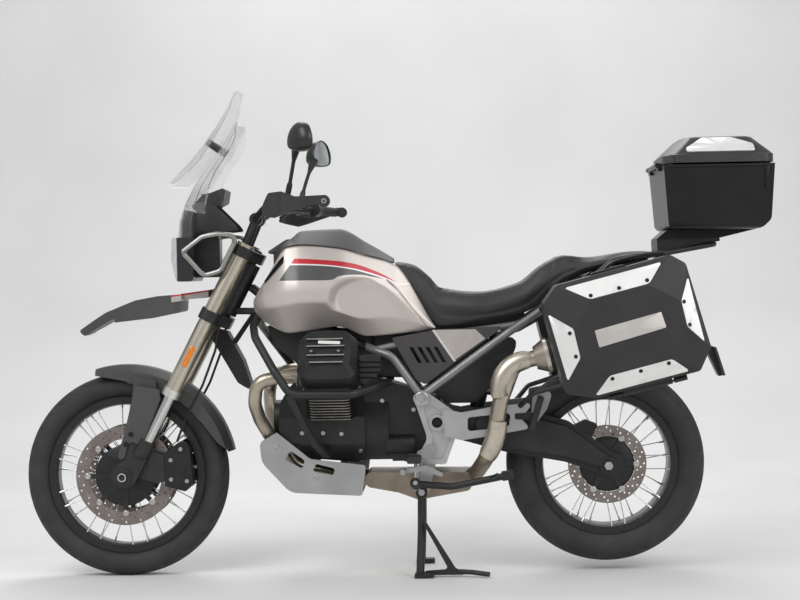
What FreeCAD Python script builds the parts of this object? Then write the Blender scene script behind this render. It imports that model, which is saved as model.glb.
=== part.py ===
import FreeCAD, Part
import math
import os
import PartDesign
import Sketcher
from FreeCAD import Placement, Rotation, Vector

# Adventure motorcycle on its centre stand: transverse V-twin, shaft drive, two side
# cases and a top case.  +X points forward, +Y to the rider's left, +Z up, millimetres.
# The origin lies on the floor, under the middle of the whole machine.

doc = FreeCAD.newDocument("adventure_motorcycle")

# ---------------------------------------------------------------- driving dimensions
# alias, value (millimetres, or degrees where the name ends in _deg)
DIMENSIONS = [
    ("front_axle_x", 875), ("wheelbase", 1551), ("rear_lift", 26),
    ("rake_deg", 27.7), ("yoke_offset", 35), ("axle_lead", 17.6), ("fork_drop", 827),
    ("front_tyre_radius", 329), ("front_tyre_width", 110), ("front_rim_radius", 241),
    ("rear_tyre_radius", 320), ("rear_tyre_width", 150), ("rear_rim_radius", 216),
    ("front_rim_width", 76), ("rear_rim_width", 122), ("spoke_radius", 1.7),
    ("front_disc_radius", 160), ("rear_disc_radius", 125), ("disc_thickness", 5),
    ("front_disc_y", 66), ("rear_disc_y", 90),
    ("fork_spread", 210), ("fork_tube_radius", 27), ("stanchion_radius", 21.5),
    ("fork_tube_length", 539), ("fork_above", 18), ("stem_radius", 13), ("head_tube_radius", 30),
    ("running_gap", 0.2), ("axle_radius", 9), ("rear_axle_radius", 12),
    ("bar_radius", 11), ("grip_radius", 16), ("bar_half_width", 452),
    ("frame_tube_radius", 13), ("frame_tube_y", 128), ("rack_tube_radius", 9),
    ("crash_bar_radius", 12.7), ("case_wall", 4),
    ("pannier_inner_y", 260.4), ("pannier_split_y", 398), ("pannier_outer_y", 466),
    ("lid_gap", 5.5),
    ("top_case_half_width", 215), ("top_case_split_z", 1290), ("top_case_top_z", 1382),
    ("bore_x", 200), ("crank_z", 430), ("cylinder_lean_deg", 45), ("fin_count", 8),
    ("fin_pitch", 13), ("fin_thickness", 4), ("engine_half_width", 95),
    ("plate_inner_y", 112), ("plate_thickness", 26),
    ("header_radius", 21), ("silencer_radius", 54), ("silencer_y", 193),
    ("centre_stand_x", -82), ("centre_stand_z", 268), ("centre_stand_y", 122),
    ("stand_leg_radius", 13), ("side_stand_y", 172), ("mudguard_radius", 352),
    ("mudguard_wall", 4), ("screen_thickness", 4), ("screen_half_width", 170),
]
sheet = doc.addObject("Spreadsheet::Sheet", "dims")
for row, (alias, value) in enumerate(DIMENSIONS, start=1):
    sheet.set("A%d" % row, alias)
    sheet.set("B%d" % row, str(value))
    sheet.setAlias("B%d" % row, alias)
doc.recompute()


def size(alias):
    return float(getattr(sheet, alias))


# ------------------------------------------------------------------- shared geometry
FRONT_AXLE = Vector(size("front_axle_x"), 0, size("front_tyre_radius"))
REAR_AXLE = Vector(size("front_axle_x") - size("wheelbase"), 0,
                   size("rear_tyre_radius") + size("rear_lift"))
RAKE = math.radians(size("rake_deg"))
DOWN_FORK = Vector(math.sin(RAKE), 0, -math.cos(RAKE))
AHEAD = Vector(math.cos(RAKE), 0, math.sin(RAKE))
STEERING_TOP = (FRONT_AXLE - DOWN_FORK * size("fork_drop")
                - AHEAD * (size("yoke_offset") + size("axle_lead")))
FORK_Y = size("fork_spread") / 2


def fork_point(down, ahead, side):
    """A point by its distance down the steering axis, ahead of it and to the left."""
    return STEERING_TOP + DOWN_FORK * down + AHEAD * ahead + Vector(0, side, 0)


def curves_of(corners):
    """Lines and arcs through corners (u, v), (u, v, radius) or (u, v, "via")."""
    points, radii, vias = [], [], {}
    for corner in corners:
        if len(corner) > 2 and corner[2] == "via":
            vias[len(points) - 1] = Vector(corner[0], corner[1], 0)
            continue
        points.append(Vector(corner[0], corner[1], 0))
        radii.append(corner[2] if len(corner) > 2 else 0)
    starts, middles, ends = [], [], []
    for i, point in enumerate(points):
        if radii[i] == 0:
            starts.append(point)
            middles.append(None)
            ends.append(point)
            continue
        back = (points[i - 1] - point).normalize()
        on = (points[(i + 1) % len(points)] - point).normalize()
        half = back.getAngle(on) / 2
        reach = radii[i] / math.tan(half)
        middle = (back + on).normalize()
        starts.append(point + back * reach)
        middles.append(point + middle * (radii[i] / math.sin(half) - radii[i]))
        ends.append(point + on * reach)
    curves = []
    for i, end in enumerate(ends):
        if middles[i]:
            curves.append(Part.Arc(starts[i], middles[i], end))
        following = starts[(i + 1) % len(ends)]
        if i in vias:
            curves.append(Part.Arc(end, vias[i], following))
        elif (following - end).Length > 1e-5:
            curves.append(Part.LineSegment(end, following))
    return curves


def inset(corners, margin):
    """The same closed outline with every side moved inwards, or out if negative."""
    count = len(corners)
    area = sum(corners[i][0] * corners[(i + 1) % count][1]
               - corners[(i + 1) % count][0] * corners[i][1] for i in range(count))
    turn = 1 if area > 0 else -1
    lines = []
    for i in range(count):
        (x1, z1), (x2, z2) = corners[i][:2], corners[(i + 1) % count][:2]
        length = math.hypot(x2 - x1, z2 - z1)
        nx, nz = -(z2 - z1) / length * turn, (x2 - x1) / length * turn
        lines.append((x1 + nx * margin, z1 + nz * margin, x2 - x1, z2 - z1))
    moved = []
    for i in range(count):
        x1, z1, dx1, dz1 = lines[i - 1]
        x2, z2, dx2, dz2 = lines[i]
        det = dx1 * dz2 - dz1 * dx2
        along = ((x2 - x1) * dz2 - (z2 - z1) * dx2) / det
        moved.append((x1 + dx1 * along, z1 + dz1 * along) + tuple(corners[i][2:]))
    return moved


def with_radius(corners, radius):
    return [(x, z, radius) for x, z in corners]


def drive(thing, prop, value):
    """Bind a property to the sheet: a number, or words naming cells."""
    thing.setExpression(prop, str(value))


def sketch_in(body, role, name, curves, offset=0):
    plane = [f for f in body.Origin.OriginFeatures if f.Role == role][0]
    sketch = body.newObject("Sketcher::SketchObject", name)
    sketch.AttachmentSupport = [(plane, "")]
    sketch.MapMode = "FlatFace"
    sketch.addGeometry(curves, False)
    drive(sketch, "AttachmentOffset.Base.z", offset)
    return sketch


# a sketch on XZ_Plane looks along +Y, so its own z axis is -Y
def slab(name, corners, low, high, role="XZ_Plane"):
    """A padded outline between two planes, low and high, across the given plane."""
    body = doc.addObject("PartDesign::Body", name)
    start = "-(%s)" % high if role == "XZ_Plane" else low
    sketch = sketch_in(body, role, name + "_outline", curves_of(corners), start)
    pad = body.newObject("PartDesign::Pad", name + "_pad")
    pad.Profile = sketch
    drive(pad, "Length", "(%s) - (%s)" % (high, low))
    sketch.Visibility = False
    return body


def turned(name, corners, centre):
    """An outline of (y, radius) corners turned about the Y axis through a centre."""
    body = doc.addObject("PartDesign::Body", name)
    sketch = sketch_in(body, "YZ_Plane", name + "_section", curves_of(corners))
    turn = body.newObject("PartDesign::Revolution", name + "_turn")
    turn.Profile = sketch
    turn.ReferenceAxis = (sketch, ["H_Axis"])
    turn.Angle = 360
    body.Placement = Placement(centre, Rotation())
    return body


def rod(name, start, end, radius):
    """A round bar from one point to another, its radius bound to the sheet."""
    bar = doc.addObject("Part::Cylinder", name)
    drive(bar, "Radius", radius)
    bar.Height = (end - start).Length
    bar.Placement = Placement(start, Rotation(Vector(0, 0, 1), end - start))
    return bar


def cross_rod(name, x, z, low, high, radius):
    """A round bar along Y between two planes."""
    bar = doc.addObject("Part::Cylinder", name)
    drive(bar, "Radius", radius)
    drive(bar, "Height", "(%s) - (%s)" % (high, low))
    bar.Placement = Placement(Vector(x, 0, z), Rotation(Vector(1, 0, 0), -90))
    drive(bar, "Placement.Base.y", low)
    return bar


def box(name, low, high):
    block = doc.addObject("Part::Box", name)
    block.Length = high[0] - low[0]
    block.Width = high[1] - low[1]
    block.Height = high[2] - low[2]
    block.Placement = Placement(Vector(*low), Rotation())
    return block


def tube(name, points, bend, radius):
    """A round section swept along straight runs joined by tangent arcs."""
    points = [Vector(*point) for point in points]
    edges = []
    at = points[0]
    for i in range(1, len(points) - 1):
        back = points[i - 1] - points[i]
        on = points[i + 1] - points[i]
        half = back.getAngle(on) / 2
        reach = min(bend / math.tan(half), 0.45 * back.Length, 0.45 * on.Length)
        turn_radius = reach * math.tan(half)
        back.normalize()
        on.normalize()
        middle = (back + on).normalize()
        start = points[i] + back * reach
        end = points[i] + on * reach
        through = points[i] + middle * (turn_radius / math.sin(half) - turn_radius)
        edges.append(Part.LineSegment(at, start).toShape())
        edges.append(Part.Arc(start, through, end).toShape())
        at = end
    edges.append(Part.LineSegment(at, points[-1]).toShape())
    spine = doc.addObject("Part::Feature", name + "_route")
    spine.Shape = Part.Wire(edges)
    ring = doc.addObject("Part::Circle", name + "_ring")
    drive(ring, "Radius", radius)
    ring.Placement = Placement(points[0], Rotation(Vector(0, 0, 1), points[1] - points[0]))
    sweep = doc.addObject("Part::Sweep", name)
    sweep.Sections = [ring]
    sweep.Spine = (spine, [])
    sweep.Solid = True
    sweep.Frenet = False
    return sweep


def loft(name, wires, ruled=True):
    """A solid through closed wires."""
    sections = []
    for i, wire in enumerate(wires):
        section = doc.addObject("Part::Feature", "%s_section_%d" % (name, i + 1))
        section.Shape = wire
        sections.append(section)
    skin = doc.addObject("Part::Loft", name)
    skin.Sections = sections
    skin.Solid = True
    skin.Ruled = ruled
    return skin


def wire_at(corners, origin, across, up):
    """A closed wire of (u, v) corners laid out along two directions at a point."""
    across = Vector(across).normalize()
    up = Vector(up).normalize()
    frame = FreeCAD.Matrix(across.x, up.x, across.cross(up).x, origin.x,
                           across.y, up.y, across.cross(up).y, origin.y,
                           across.z, up.z, across.cross(up).z, origin.z,
                           0, 0, 0, 1)
    wire = Part.Wire([curve.toShape() for curve in curves_of(corners)])
    wire.Placement = Placement(frame)
    return wire


def fuse(name, parts):
    whole = doc.addObject("Part::MultiFuse", name)
    whole.Shapes = list(parts)
    return whole


def fuse_in_turn(name, parts):
    """The same union made one piece at a time, for tubes that cross near each other."""
    whole = parts[0]
    for i, part in enumerate(parts[1:], start=1):
        step = doc.addObject("Part::Fuse", name if i == len(parts) - 1 else "%s_%d" % (name, i))
        step.Base = whole
        step.Tool = part
        whole = step
    return whole


def common(name, parts):
    shared = doc.addObject("Part::MultiCommon", name)
    shared.Shapes = list(parts)
    return shared


def cut(name, base, tools):
    tools = list(tools)
    tool = tools[0] if len(tools) == 1 else fuse(name + "_tools", tools)
    rest = doc.addObject("Part::Cut", name)
    rest.Base = base
    rest.Tool = tool
    return rest


def mirrored(name, left):
    """The same piece on the rider's right."""
    right = doc.addObject("Part::Mirroring", name)
    right.Source = left
    right.Normal = Vector(0, 1, 0)
    return right


def together(name, parts):
    group = doc.addObject("Part::Compound", name)
    group.Links = list(parts)
    return group


def both_sides(name, left):
    return together(name, [left, mirrored(name + "_right", left)])


def in_fork_frame(thing):
    """Lay a piece out about the steering axis: x ahead of it, z up along it."""
    thing.Placement = Placement(STEERING_TOP, Rotation(Vector(0, 1, 0), -size("rake_deg")))
    return thing


nodes = []


def node(label, thing):
    """Name a finished piece: its label is the name of its file."""
    thing.Label = label
    nodes.append(thing)
    return thing


# ----------------------------------------------------------------------------- wheels
def spoked_rim(name, axle, rim_radius, rim_width, flange_y, hub, bore, spokes):
    """Rim, hub and crossed wire spokes as one solid; hub is a list of (y, radius)."""
    half = rim_width / 2
    lip = rim_radius + 12
    inner = rim_radius - 15
    rim = turned(name + "_rim", [
        (-half, lip), (-half + 4, lip), (-half + 4, rim_radius + 2), (-half * 0.4, rim_radius - 2),
        (-half * 0.3, rim_radius - 9), (half * 0.3, rim_radius - 9), (half * 0.4, rim_radius - 2),
        (half - 4, rim_radius + 2), (half - 4, lip), (half, lip), (half, inner + 4),
        (half * 0.6, inner), (-half * 0.6, inner), (-half, inner + 4)], axle)
    barrel = turned(name + "_hub", [(hub[0][0], bore)] + hub + [(hub[-1][0], bore)], axle)
    parts = [rim, barrel]
    for i in range(spokes):
        side = 1 if i % 2 else -1
        lead = math.radians(24) * (1 if (i // 2) % 2 else -1)
        turn = 2 * math.pi * i / spokes
        root = axle + Vector(42 * math.cos(turn), side * flange_y, 42 * math.sin(turn))
        tip = axle + Vector((inner + 6) * math.cos(turn + lead), side * (half - 5),
                            (inner + 6) * math.sin(turn + lead))
        parts.append(rod("%s_spoke_%d" % (name, i + 1), root, tip, "dims.spoke_radius"))
    return fuse(name, parts)


def tyre(name, axle, radius, width, rim_radius, rim_width, wall=9):
    half = width / 2
    seat = rim_width / 2 - 4 - size("running_gap")
    bead = rim_radius + 2 + size("running_gap")
    lip = rim_radius + 14
    shoulder = radius - 0.19 * width
    belly = (shoulder + lip) / 2
    side = half - 1
    edge = half * 0.9
    return turned(name, [
        (-seat, bead), (-seat, lip), (-side, belly, "via"), (-edge, shoulder), (0, radius, "via"),
        (edge, shoulder), (side, belly, "via"), (seat, lip), (seat, bead), (seat - wall, bead),
        (seat - wall, lip), (side - wall, belly, "via"), (edge - wall, shoulder - 0.6 * wall),
        (0, radius - wall, "via"), (wall - edge, shoulder - 0.6 * wall),
        (wall - side, belly, "via"), (wall - seat, lip), (wall - seat, bead)], axle)


DISC_HOLES = 20


def brake_disc(name, axle, y, radius, band, hole, arms):
    """A braking ring on a carrier with arms, centred on the plane y."""
    half = size("disc_thickness") / 2
    ring = turned(name + "_ring", [(y - half, radius - band), (y - half, radius),
                                   (y + half, radius), (y + half, radius - band)], axle)
    middle = turned(name + "_carrier", [(y - half, hole), (y - half, hole + 30),
                                        (y + half, hole + 30), (y + half, hole)], axle)
    parts = [ring, middle]
    for i in range(arms):
        arm = slab("%s_arm_%d" % (name, i + 1), [
            (hole + 25, -9), (radius - band + 6, -7), (radius - band + 6, 7), (hole + 25, 9)],
            y - half, y + half)
        arm.Placement = Placement(axle, Rotation(Vector(0, 1, 0), 360 * i / arms))
        parts.append(arm)
    drilled = []
    for i in range(DISC_HOLES):
        for row, share in enumerate((0.22, 0.5, 0.78)):
            turn = 2 * math.pi * (i + row / 3) / DISC_HOLES
            out = radius - band * share
            hole_rod = cross_rod("%s_hole_%d_%d" % (name, i + 1, row + 1),
                                 axle.x + out * math.cos(turn), axle.z + out * math.sin(turn),
                                 y - 6, y + 6, 3.2)
            drilled.append(hole_rod)
    return cut(name, fuse(name + "_solid", parts), [together(name + "_holes", drilled)])


gap = size("running_gap")
disc_half = size("disc_thickness") / 2
front_hub_end = size("front_disc_y") - disc_half - gap
front_bore = size("axle_radius") + gap
node("front_rim", spoked_rim(
    "front_spoked_rim", FRONT_AXLE, size("front_rim_radius"), size("front_rim_width"), 31,
    [(-front_hub_end, 52), (-56, 52), (-56, 28), (-35, 28), (-35, 46), (-28, 46), (-28, 26),
     (28, 26), (28, 46), (35, 46), (35, 28), (56, 28), (56, 52), (front_hub_end, 52)],
    front_bore, 36))
node("front_tyre", tyre("front_tyre", FRONT_AXLE, size("front_tyre_radius"),
                        size("front_tyre_width"), size("front_rim_radius"),
                        size("front_rim_width")))
node("front_discs", both_sides("front_discs", brake_disc(
    "front_disc", FRONT_AXLE, size("front_disc_y"), size("front_disc_radius"), 42, 20, 8)))
rear_bore = size("rear_axle_radius") + gap
rear_hub_end = size("rear_disc_y") - disc_half - gap
node("rear_rim", spoked_rim(
    "rear_spoked_rim", REAR_AXLE, size("rear_rim_radius"), size("rear_rim_width"), 46,
    [(-68, 40), (-50, 40), (-50, 48), (-43, 48), (-43, 34), (43, 34), (43, 48), (50, 48),
     (50, 38), (rear_hub_end - 8, 38), (rear_hub_end - 8, 50), (rear_hub_end, 50)],
    rear_bore, 36))
node("rear_tyre", tyre("rear_tyre", REAR_AXLE, size("rear_tyre_radius"),
                       size("rear_tyre_width"), size("rear_rim_radius"),
                       size("rear_rim_width")))
node("rear_disc", brake_disc("rear_disc", REAR_AXLE, size("rear_disc_y"),
                             size("rear_disc_radius"), 36, 24, 6))

# ------------------------------------------------------------------------------- fork
# heights along the steering axis, measured down from its top: (from, to)
UPPER_YOKE = (-8, 26)
HEAD_TUBE = (34, 214)
LOWER_YOKE = (222, 258)
FORK_AHEAD = size("yoke_offset")
tube_top = -size("fork_above")
tube_end = tube_top + size("fork_tube_length")
stanchion_top = 332
stanchion_end = 742
carrier_top = 688


def fork_rod(name, start, end, radius, side=FORK_Y):
    return rod(name, fork_point(start, FORK_AHEAD, side), fork_point(end, FORK_AHEAD, side),
               radius)


outer = fuse("fork_tube_outside", [
    fork_rod("fork_tube_barrel", tube_top, tube_end, "dims.fork_tube_radius"),
    fork_rod("fork_tube_collar", tube_end - 18, tube_end + 8, "dims.fork_tube_radius + 3")])
bored = cut("fork_tube_left", outer, [fork_rod(
    "fork_tube_bore", stanchion_top - 2, tube_end + 20, "dims.stanchion_radius + dims.running_gap")])
node("fork_tubes", both_sides("fork_tubes", bored))

CARRIER = [(838, 442, 12), (786, 414, 12), (806, 366, 20), (842, 300, 25), (880, 290, 30),
           (914, 322, 30), (902, 362, 25), (868, 384, 20), (854, 436, 12)]
carrier = slab("axle_carrier", CARRIER, 88, 122)
caliper_lug = slab("caliper_lug", [(812, 420), (743.3, 396), (743.3, 312), (765, 306), (846, 330)],
                   90, 104)
axle_boss = cross_rod("axle_boss", FRONT_AXLE.x, FRONT_AXLE.z, 84, 126, 30)
leg = fuse("fork_leg_left", [
    fork_rod("stanchion", stanchion_top, stanchion_end, "dims.stanchion_radius"),
    fork_rod("stanchion_clamp", carrier_top, stanchion_end, "dims.stanchion_radius + 8"),
    carrier, caliper_lug, axle_boss])
axle = cross_rod("front_axle", FRONT_AXLE.x, FRONT_AXLE.z, -130, 130, "dims.axle_radius")
spacer = cross_rod("axle_spacer", FRONT_AXLE.x, FRONT_AXLE.z, 64.5, 90, 14)
axle_cap = cross_rod("axle_cap", FRONT_AXLE.x, FRONT_AXLE.z, 120, 131, 15)
half_axle = fuse("leg_with_axle_left", [leg, spacer, axle_cap])
node("fork_legs", fuse("fork_legs", [half_axle, mirrored("leg_with_axle_right", half_axle), axle]))


def yoke(name, span):
    outline = [(-30, -32, 18), (8, -138, 30), (68, -138, 30), (70, -84, 20), (34, -36, 20),
               (34, 36, 20), (70, 84, 20), (68, 138, 30), (8, 138, 30), (-30, 32, 18)]
    plate = in_fork_frame(slab(name + "_plate", outline, -span[1], -span[0], "XY_Plane"))
    holes = [fork_rod("%s_hole_%d" % (name, i), span[0] - 5, span[1] + 5,
                      "dims.fork_tube_radius + dims.running_gap", side)
             for i, side in ((1, FORK_Y), (2, -FORK_Y))]
    return cut(name, plate, holes)


stem = rod("steering_stem", fork_point(UPPER_YOKE[0] - 6, 0, 0), fork_point(LOWER_YOKE[1], 0, 0),
           "dims.stem_radius")
node("yokes", fuse("yokes", [yoke("upper_yoke", UPPER_YOKE), yoke("lower_yoke", LOWER_YOKE), stem]))

# ------------------------------------------------------------------------- handlebar
BAR_CLAMP = fork_point(-102, 48, 0)
bar_half = [(BAR_CLAMP.x, 72, BAR_CLAMP.z), (402, 150, 1180), (330, 240, 1190), (266, 306, 1189),
            (213, size("bar_half_width"), 1186)]
left_bar = [(x, y, z) for x, y, z in bar_half]
right_bar = [(x, -y, z) for x, y, z in reversed(bar_half)]
bar = tube("bar", right_bar + left_bar, 60, "dims.bar_radius")
GRIP_IN = Vector(*bar_half[3])
BAR_END = Vector(*bar_half[4])
along = (BAR_END - GRIP_IN).normalize()
riser = rod("riser", fork_point(UPPER_YOKE[0] - 1.6, 40, 44),
            Vector(BAR_CLAMP.x, 44, BAR_CLAMP.z), 15)
clamp = cross_rod("bar_clamp", BAR_CLAMP.x, BAR_CLAMP.z, 28, 60, 21)
grip = rod("grip", GRIP_IN + along * 12, GRIP_IN + along * 134, "dims.grip_radius")
bar_weight = rod("bar_weight", GRIP_IN + along * 138, BAR_END + along * 2, "dims.grip_radius - 1")
switch = rod("switch_block", GRIP_IN - along * 24, GRIP_IN + along * 9, 21)
lever = tube("lever", [(302, 262, 1184), (338, 300, 1180), (300, 425, 1174)], 20, 6)
left_controls = fuse("left_controls", [riser, clamp, grip, bar_weight, switch, lever])
node("handlebar", fuse("handlebar", [bar, left_controls, mirrored("right_controls", left_controls)]))

guard_strip = slab("guard_strip", [
    (183, 472), (318, 474, 30), (384, 402, 50), (393, 262), (386, 262), (377, 399, 44),
    (314, 467, 24), (183, 465)], 1120, 1230, "XY_Plane")
guard_side = slab("guard_side", [
    (396, 1150), (384, 1176), (362, 1215, 10), (318, 1217), (276, 1201), (178, 1204), (178, 1172),
    (226, 1175), (342, 1138, 12)], 250, 480)
guard_shell = common("guard_shell", [guard_strip, guard_side])
guard_bolt = cross_rod("guard_bolt", BAR_END.x, BAR_END.z, size("bar_half_width") + 7.4, 468, 9)
guard_arm = rod("guard_arm", Vector(388, 266, 1164), Vector(349.5, 233, 1184.1), 6)
node("handguards", both_sides("handguards", fuse("left_handguard",
                                                 [guard_shell, guard_bolt, guard_arm])))

mirror_side = slab("mirror_side", [
    (242, 1439, 20), (294, 1376, 20), (297, 1340, 16), (284, 1324, 10), (226, 1349, 20),
    (220, 1400, 20)], 300, 460)
mirror_front = slab("mirror_front", [
    (302, 1352, 30), (318, 1418, 34), (420, 1440, 34), (458, 1404, 30), (436, 1338, 30),
    (360, 1320, 30)], 200, 320, "YZ_Plane")
mirror_stalk = tube("mirror_stalk", [(322, 250, 1202), (306, 256, 1262), (292, 300, 1310),
                                     (268, 344, 1352)], 30, 6)
node("mirrors", both_sides("mirrors", fuse("left_mirror", [
    common("mirror_head", [mirror_side, mirror_front]), mirror_stalk])))

# --------------------------------------------------------- front mudguard and brakes
arch = size("mudguard_radius")
wall = size("mudguard_wall")
front_mudguard_arch = turned("mudguard_arch", [
    (-70, arch - 54), (-69, arch - 16), (-30, arch + wall), (0, arch + wall + 2, "via"),
    (30, arch + wall), (69, arch - 16), (70, arch - 54), (66, arch - 54), (65, arch - 19),
    (28, arch), (0, arch + 2, "via"), (-28, arch), (-65, arch - 19), (-66, arch - 54)], FRONT_AXLE)
REAR_REACH_DEG = 78
ARCH_SWEEP_DEG = 94
for item in front_mudguard_arch.Group:
    if item.isDerivedFrom("PartDesign::Revolution"):
        item.Angle = ARCH_SWEEP_DEG
front_mudguard_arch.Placement = Placement(FRONT_AXLE, Rotation(Vector(0, 1, 0), -REAR_REACH_DEG))
skirt_trim = slab("skirt_trim", [
    (1010, 662), (962, 652), (868, 634), (845, 612), (667, 512), (628, 501), (575, 431),
    (545, 408), (500, 300), (1010, 300)], -90, 90)
arch_trimmed = cut("mudguard_trimmed", front_mudguard_arch, [skirt_trim])
fork_shield = slab("fork_shield", [
    (828, 622, 12), (752, 606, 10), (748, 578, 10), (800, 452), (819, 410), (880, 386, 8),
    (888, 396, 8), (858, 500, 40)], 82, 128)
shield_link = slab("shield_link", [(838, 650), (768, 634), (764, 560), (800, 540), (846, 580)],
                   67, 86)
shield_bore = fork_rod("shield_bore", 430, 760, "dims.stanchion_radius + dims.running_gap")
collar_bore = fork_rod("collar_bore", 400, tube_end + 9, "dims.fork_tube_radius + 4")
clamp_bore = fork_rod("clamp_bore", carrier_top - 1, stanchion_end + 40,
                      "dims.stanchion_radius + 9")
left_shield = cut("left_shield", fuse("shield_solid", [fork_shield, shield_link]),
                  [shield_bore, collar_bore, clamp_bore,
                   slab("carrier_room", inset(CARRIER, -0.5), 80, 130)])
node("front_mudguard", fuse("front_mudguard", [
    arch_trimmed, left_shield, mirrored("right_shield", left_shield)]))

caliper_block = slab("caliper_block", [
    (743, 402, 10), (692, 440, 12), (662, 424, 12), (652, 300, 14), (676, 278, 12),
    (743, 296, 8)], 46, 100)
disc_clear = turned("disc_clear", [
    (size("front_disc_y") - 7.5, 0.5), (size("front_disc_y") - 7.5, size("front_disc_radius") + 6),
    (size("front_disc_y") + 7.5, size("front_disc_radius") + 6), (size("front_disc_y") + 7.5, 0.5)],
    FRONT_AXLE)
caliper = cut("front_caliper", caliper_block, [disc_clear])
hose = tube("brake_hose", [
    fork_point(LOWER_YOKE[1] + gap, -6, 92), fork_point(330, -28, 92), fork_point(450, -42, 92),
    fork_point(560, -40, 92), (702, 92, 438)], 60, 4)
node("front_brakes", both_sides("front_brakes", together("left_front_brake", [caliper, hose])))


# ------------------------------------------------------------------------------ frame
TUBE_Y = size("frame_tube_y")
PIVOT_CAP = (-88, 567)
SWINGARM_PIVOT = (-135, 490)
head_tube = rod("head_tube", fork_point(HEAD_TUBE[0], 0, 0), fork_point(HEAD_TUBE[1], 0, 0),
                "dims.head_tube_radius")
neck_plate = slab("neck_plate", [
    (492, 985), (559.8, 985), (559.8, 932), (600, 924), (600, 902), (552, 906), (526, 940)], -12, 12)
BACKBONE = [(462, 18, 930), (400, 40, 880), (330, 46, 850), (110, 50, 742), (48, 112, 718),
            (6, TUBE_Y, 704), (-80, TUBE_Y, 582)]
backbone = tube("backbone", BACKBONE, 60, "dims.frame_tube_radius")
REAR_STAY = [(-92, TUBE_Y, 578), (-367, TUBE_Y, 773), (-486, 108, 850)]
rear_stay = tube("rear_stay", REAR_STAY, 80, "dims.frame_tube_radius")
SEAT_RAIL = [(62, 100, 723), (-50, 97, 748), (-150, 98, 768), (-400, 100, 798),
             (-520, 100, 866), (-680, 98, 938), (-850, 90, 985)]
SEAT_RAIL_RADIUS = 11
seat_rail = tube("seat_rail", SEAT_RAIL, 80, SEAT_RAIL_RADIUS)
rail_room = fuse("rail_room", [
    tube("seat_rail_room", SEAT_RAIL, 80, SEAT_RAIL_RADIUS + 0.2),
    tube("rear_stay_room", REAR_STAY, 80, "dims.frame_tube_radius + 0.2")])
hanger = rod("engine_hanger", Vector(240, 48, 820), Vector(232, 48, 646), 12)
GUSSET = (Vector(330, 46, 850), fork_point(196, -20, 8))
gusset = rod("headstock_gusset", GUSSET[0], GUSSET[1], 11)
gusset_room = rod("gusset_room", GUSSET[0], GUSSET[1], 11.2)
left_frame = fuse_in_turn("left_frame", [backbone, rear_stay, seat_rail, hanger, gusset])
cap_clear = cross_rod("cap_clear", PIVOT_CAP[0], PIVOT_CAP[1], -170, 170, 24.2)
crossbars = [cross_rod("crossbar_%d" % i, x, z, -reach, reach, 10)
             for i, (x, z, reach) in enumerate(
                 [(110, 742, 50), (-300, 786, 100), (-680, 938, 98), (-486, 846, 102)], start=1)]
frame_solid = fuse_in_turn("frame_solid", [
    left_frame, head_tube, mirrored("right_frame", left_frame), neck_plate] + crossbars)
stem_bore = rod("stem_bore", fork_point(HEAD_TUBE[0] - 60, 0, 0), fork_point(HEAD_TUBE[1] + 60, 0, 0),
                "dims.stem_radius + dims.running_gap")
CASTING = [(-57, 572, 16), (-88, 600, 24), (-118, 578, 16), (-189, 526, 12), (-197, 453, 14),
           (-162, 358, 10), (-58, 358, 10), (-104, 440, 40), (-72, 538, 20)]
casting_room = slab("casting_room", inset(CASTING, -0.3), 90, 170)
node("frame", cut("frame", frame_solid, [stem_bore, cap_clear, casting_room,
                                         mirrored("casting_room_right", casting_room)]))

# ----------------------------------------------------------------------------- engine
HALF = size("engine_half_width")
BORE_X = size("bore_x")
CRANK_Z = size("crank_z")
LEAN = size("cylinder_lean_deg")
BASE_OUT = 165
top_z = CRANK_Z + BASE_OUT * math.sqrt(2)
crankcase_side = slab("crankcase_side", [
    (345, 600, 25), (366, 558, 20), (368, 466, 30), (285, 382, 20), (112, 366, 10), (95, 366),
    (95, 643), (305, 643, 20)], -150, 150)
crankcase_front = slab("crankcase_front", [
    (-110, 360, 30), (110, 360, 30), (150, 430, 20), (150, top_z - 150), (18, top_z - 18),
    (-18, top_z - 18), (-150, top_z - 150), (-150, 430, 20)], 90, 372, "YZ_Plane")
crankcase = common("crankcase", [crankcase_side, crankcase_front])
gearbox = slab("gearbox", [
    (100, 366), (100, 640), (-10, 612, 30), (-150, 560, 30), (-166, 470, 30), (-150, 388, 25),
    (-60, 366, 10)], "-dims.engine_half_width", "dims.engine_half_width")
alternator = rod("alternator_cover", Vector(360, 0, 500), Vector(392, 0, 500), 62)
clutch_bell = rod("clutch_bell", Vector(20, 0, 470), Vector(97, 0, 470), 128)
bell_trim = box("bell_trim", (10, -140, 320), (110, 140, 372))
starter = rod("starter", Vector(-62, 96, 420), Vector(30, 96, 420), 30)
pivot_shaft = cross_rod("pivot_shaft", SWINGARM_PIVOT[0], SWINGARM_PIVOT[1],
                        "-dims.plate_inner_y - 6", "dims.plate_inner_y + 6", 11)
hanger_clear = [rod("hanger_clear_%d" % i, Vector(240, side, 820), Vector(232, side, 646), 12.2)
                for i, side in ((1, 48), (2, -48))]
skid_hanger = cross_rod("skid_hanger", 160, 364, -165.2, 165.2, 8)
node("engine_block", cut("engine_block", fuse("engine_solid", [
    crankcase, gearbox, alternator, clutch_bell, starter, pivot_shaft, skid_hanger]),
    [bell_trim] + hanger_clear))


def leaned(thing):
    """Lay a cylinder's piece, drawn along its bore, over to the left."""
    lean = Placement(Vector(0, 0, CRANK_Z), Rotation(Vector(1, 0, 0), -LEAN))
    thing.Placement = lean.multiply(thing.Placement)
    return thing


def square(half_x, low, high, corner):
    return [(BORE_X - half_x, low, corner), (BORE_X + half_x, low, corner),
            (BORE_X + half_x, high, corner), (BORE_X - half_x, high, corner)]


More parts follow.
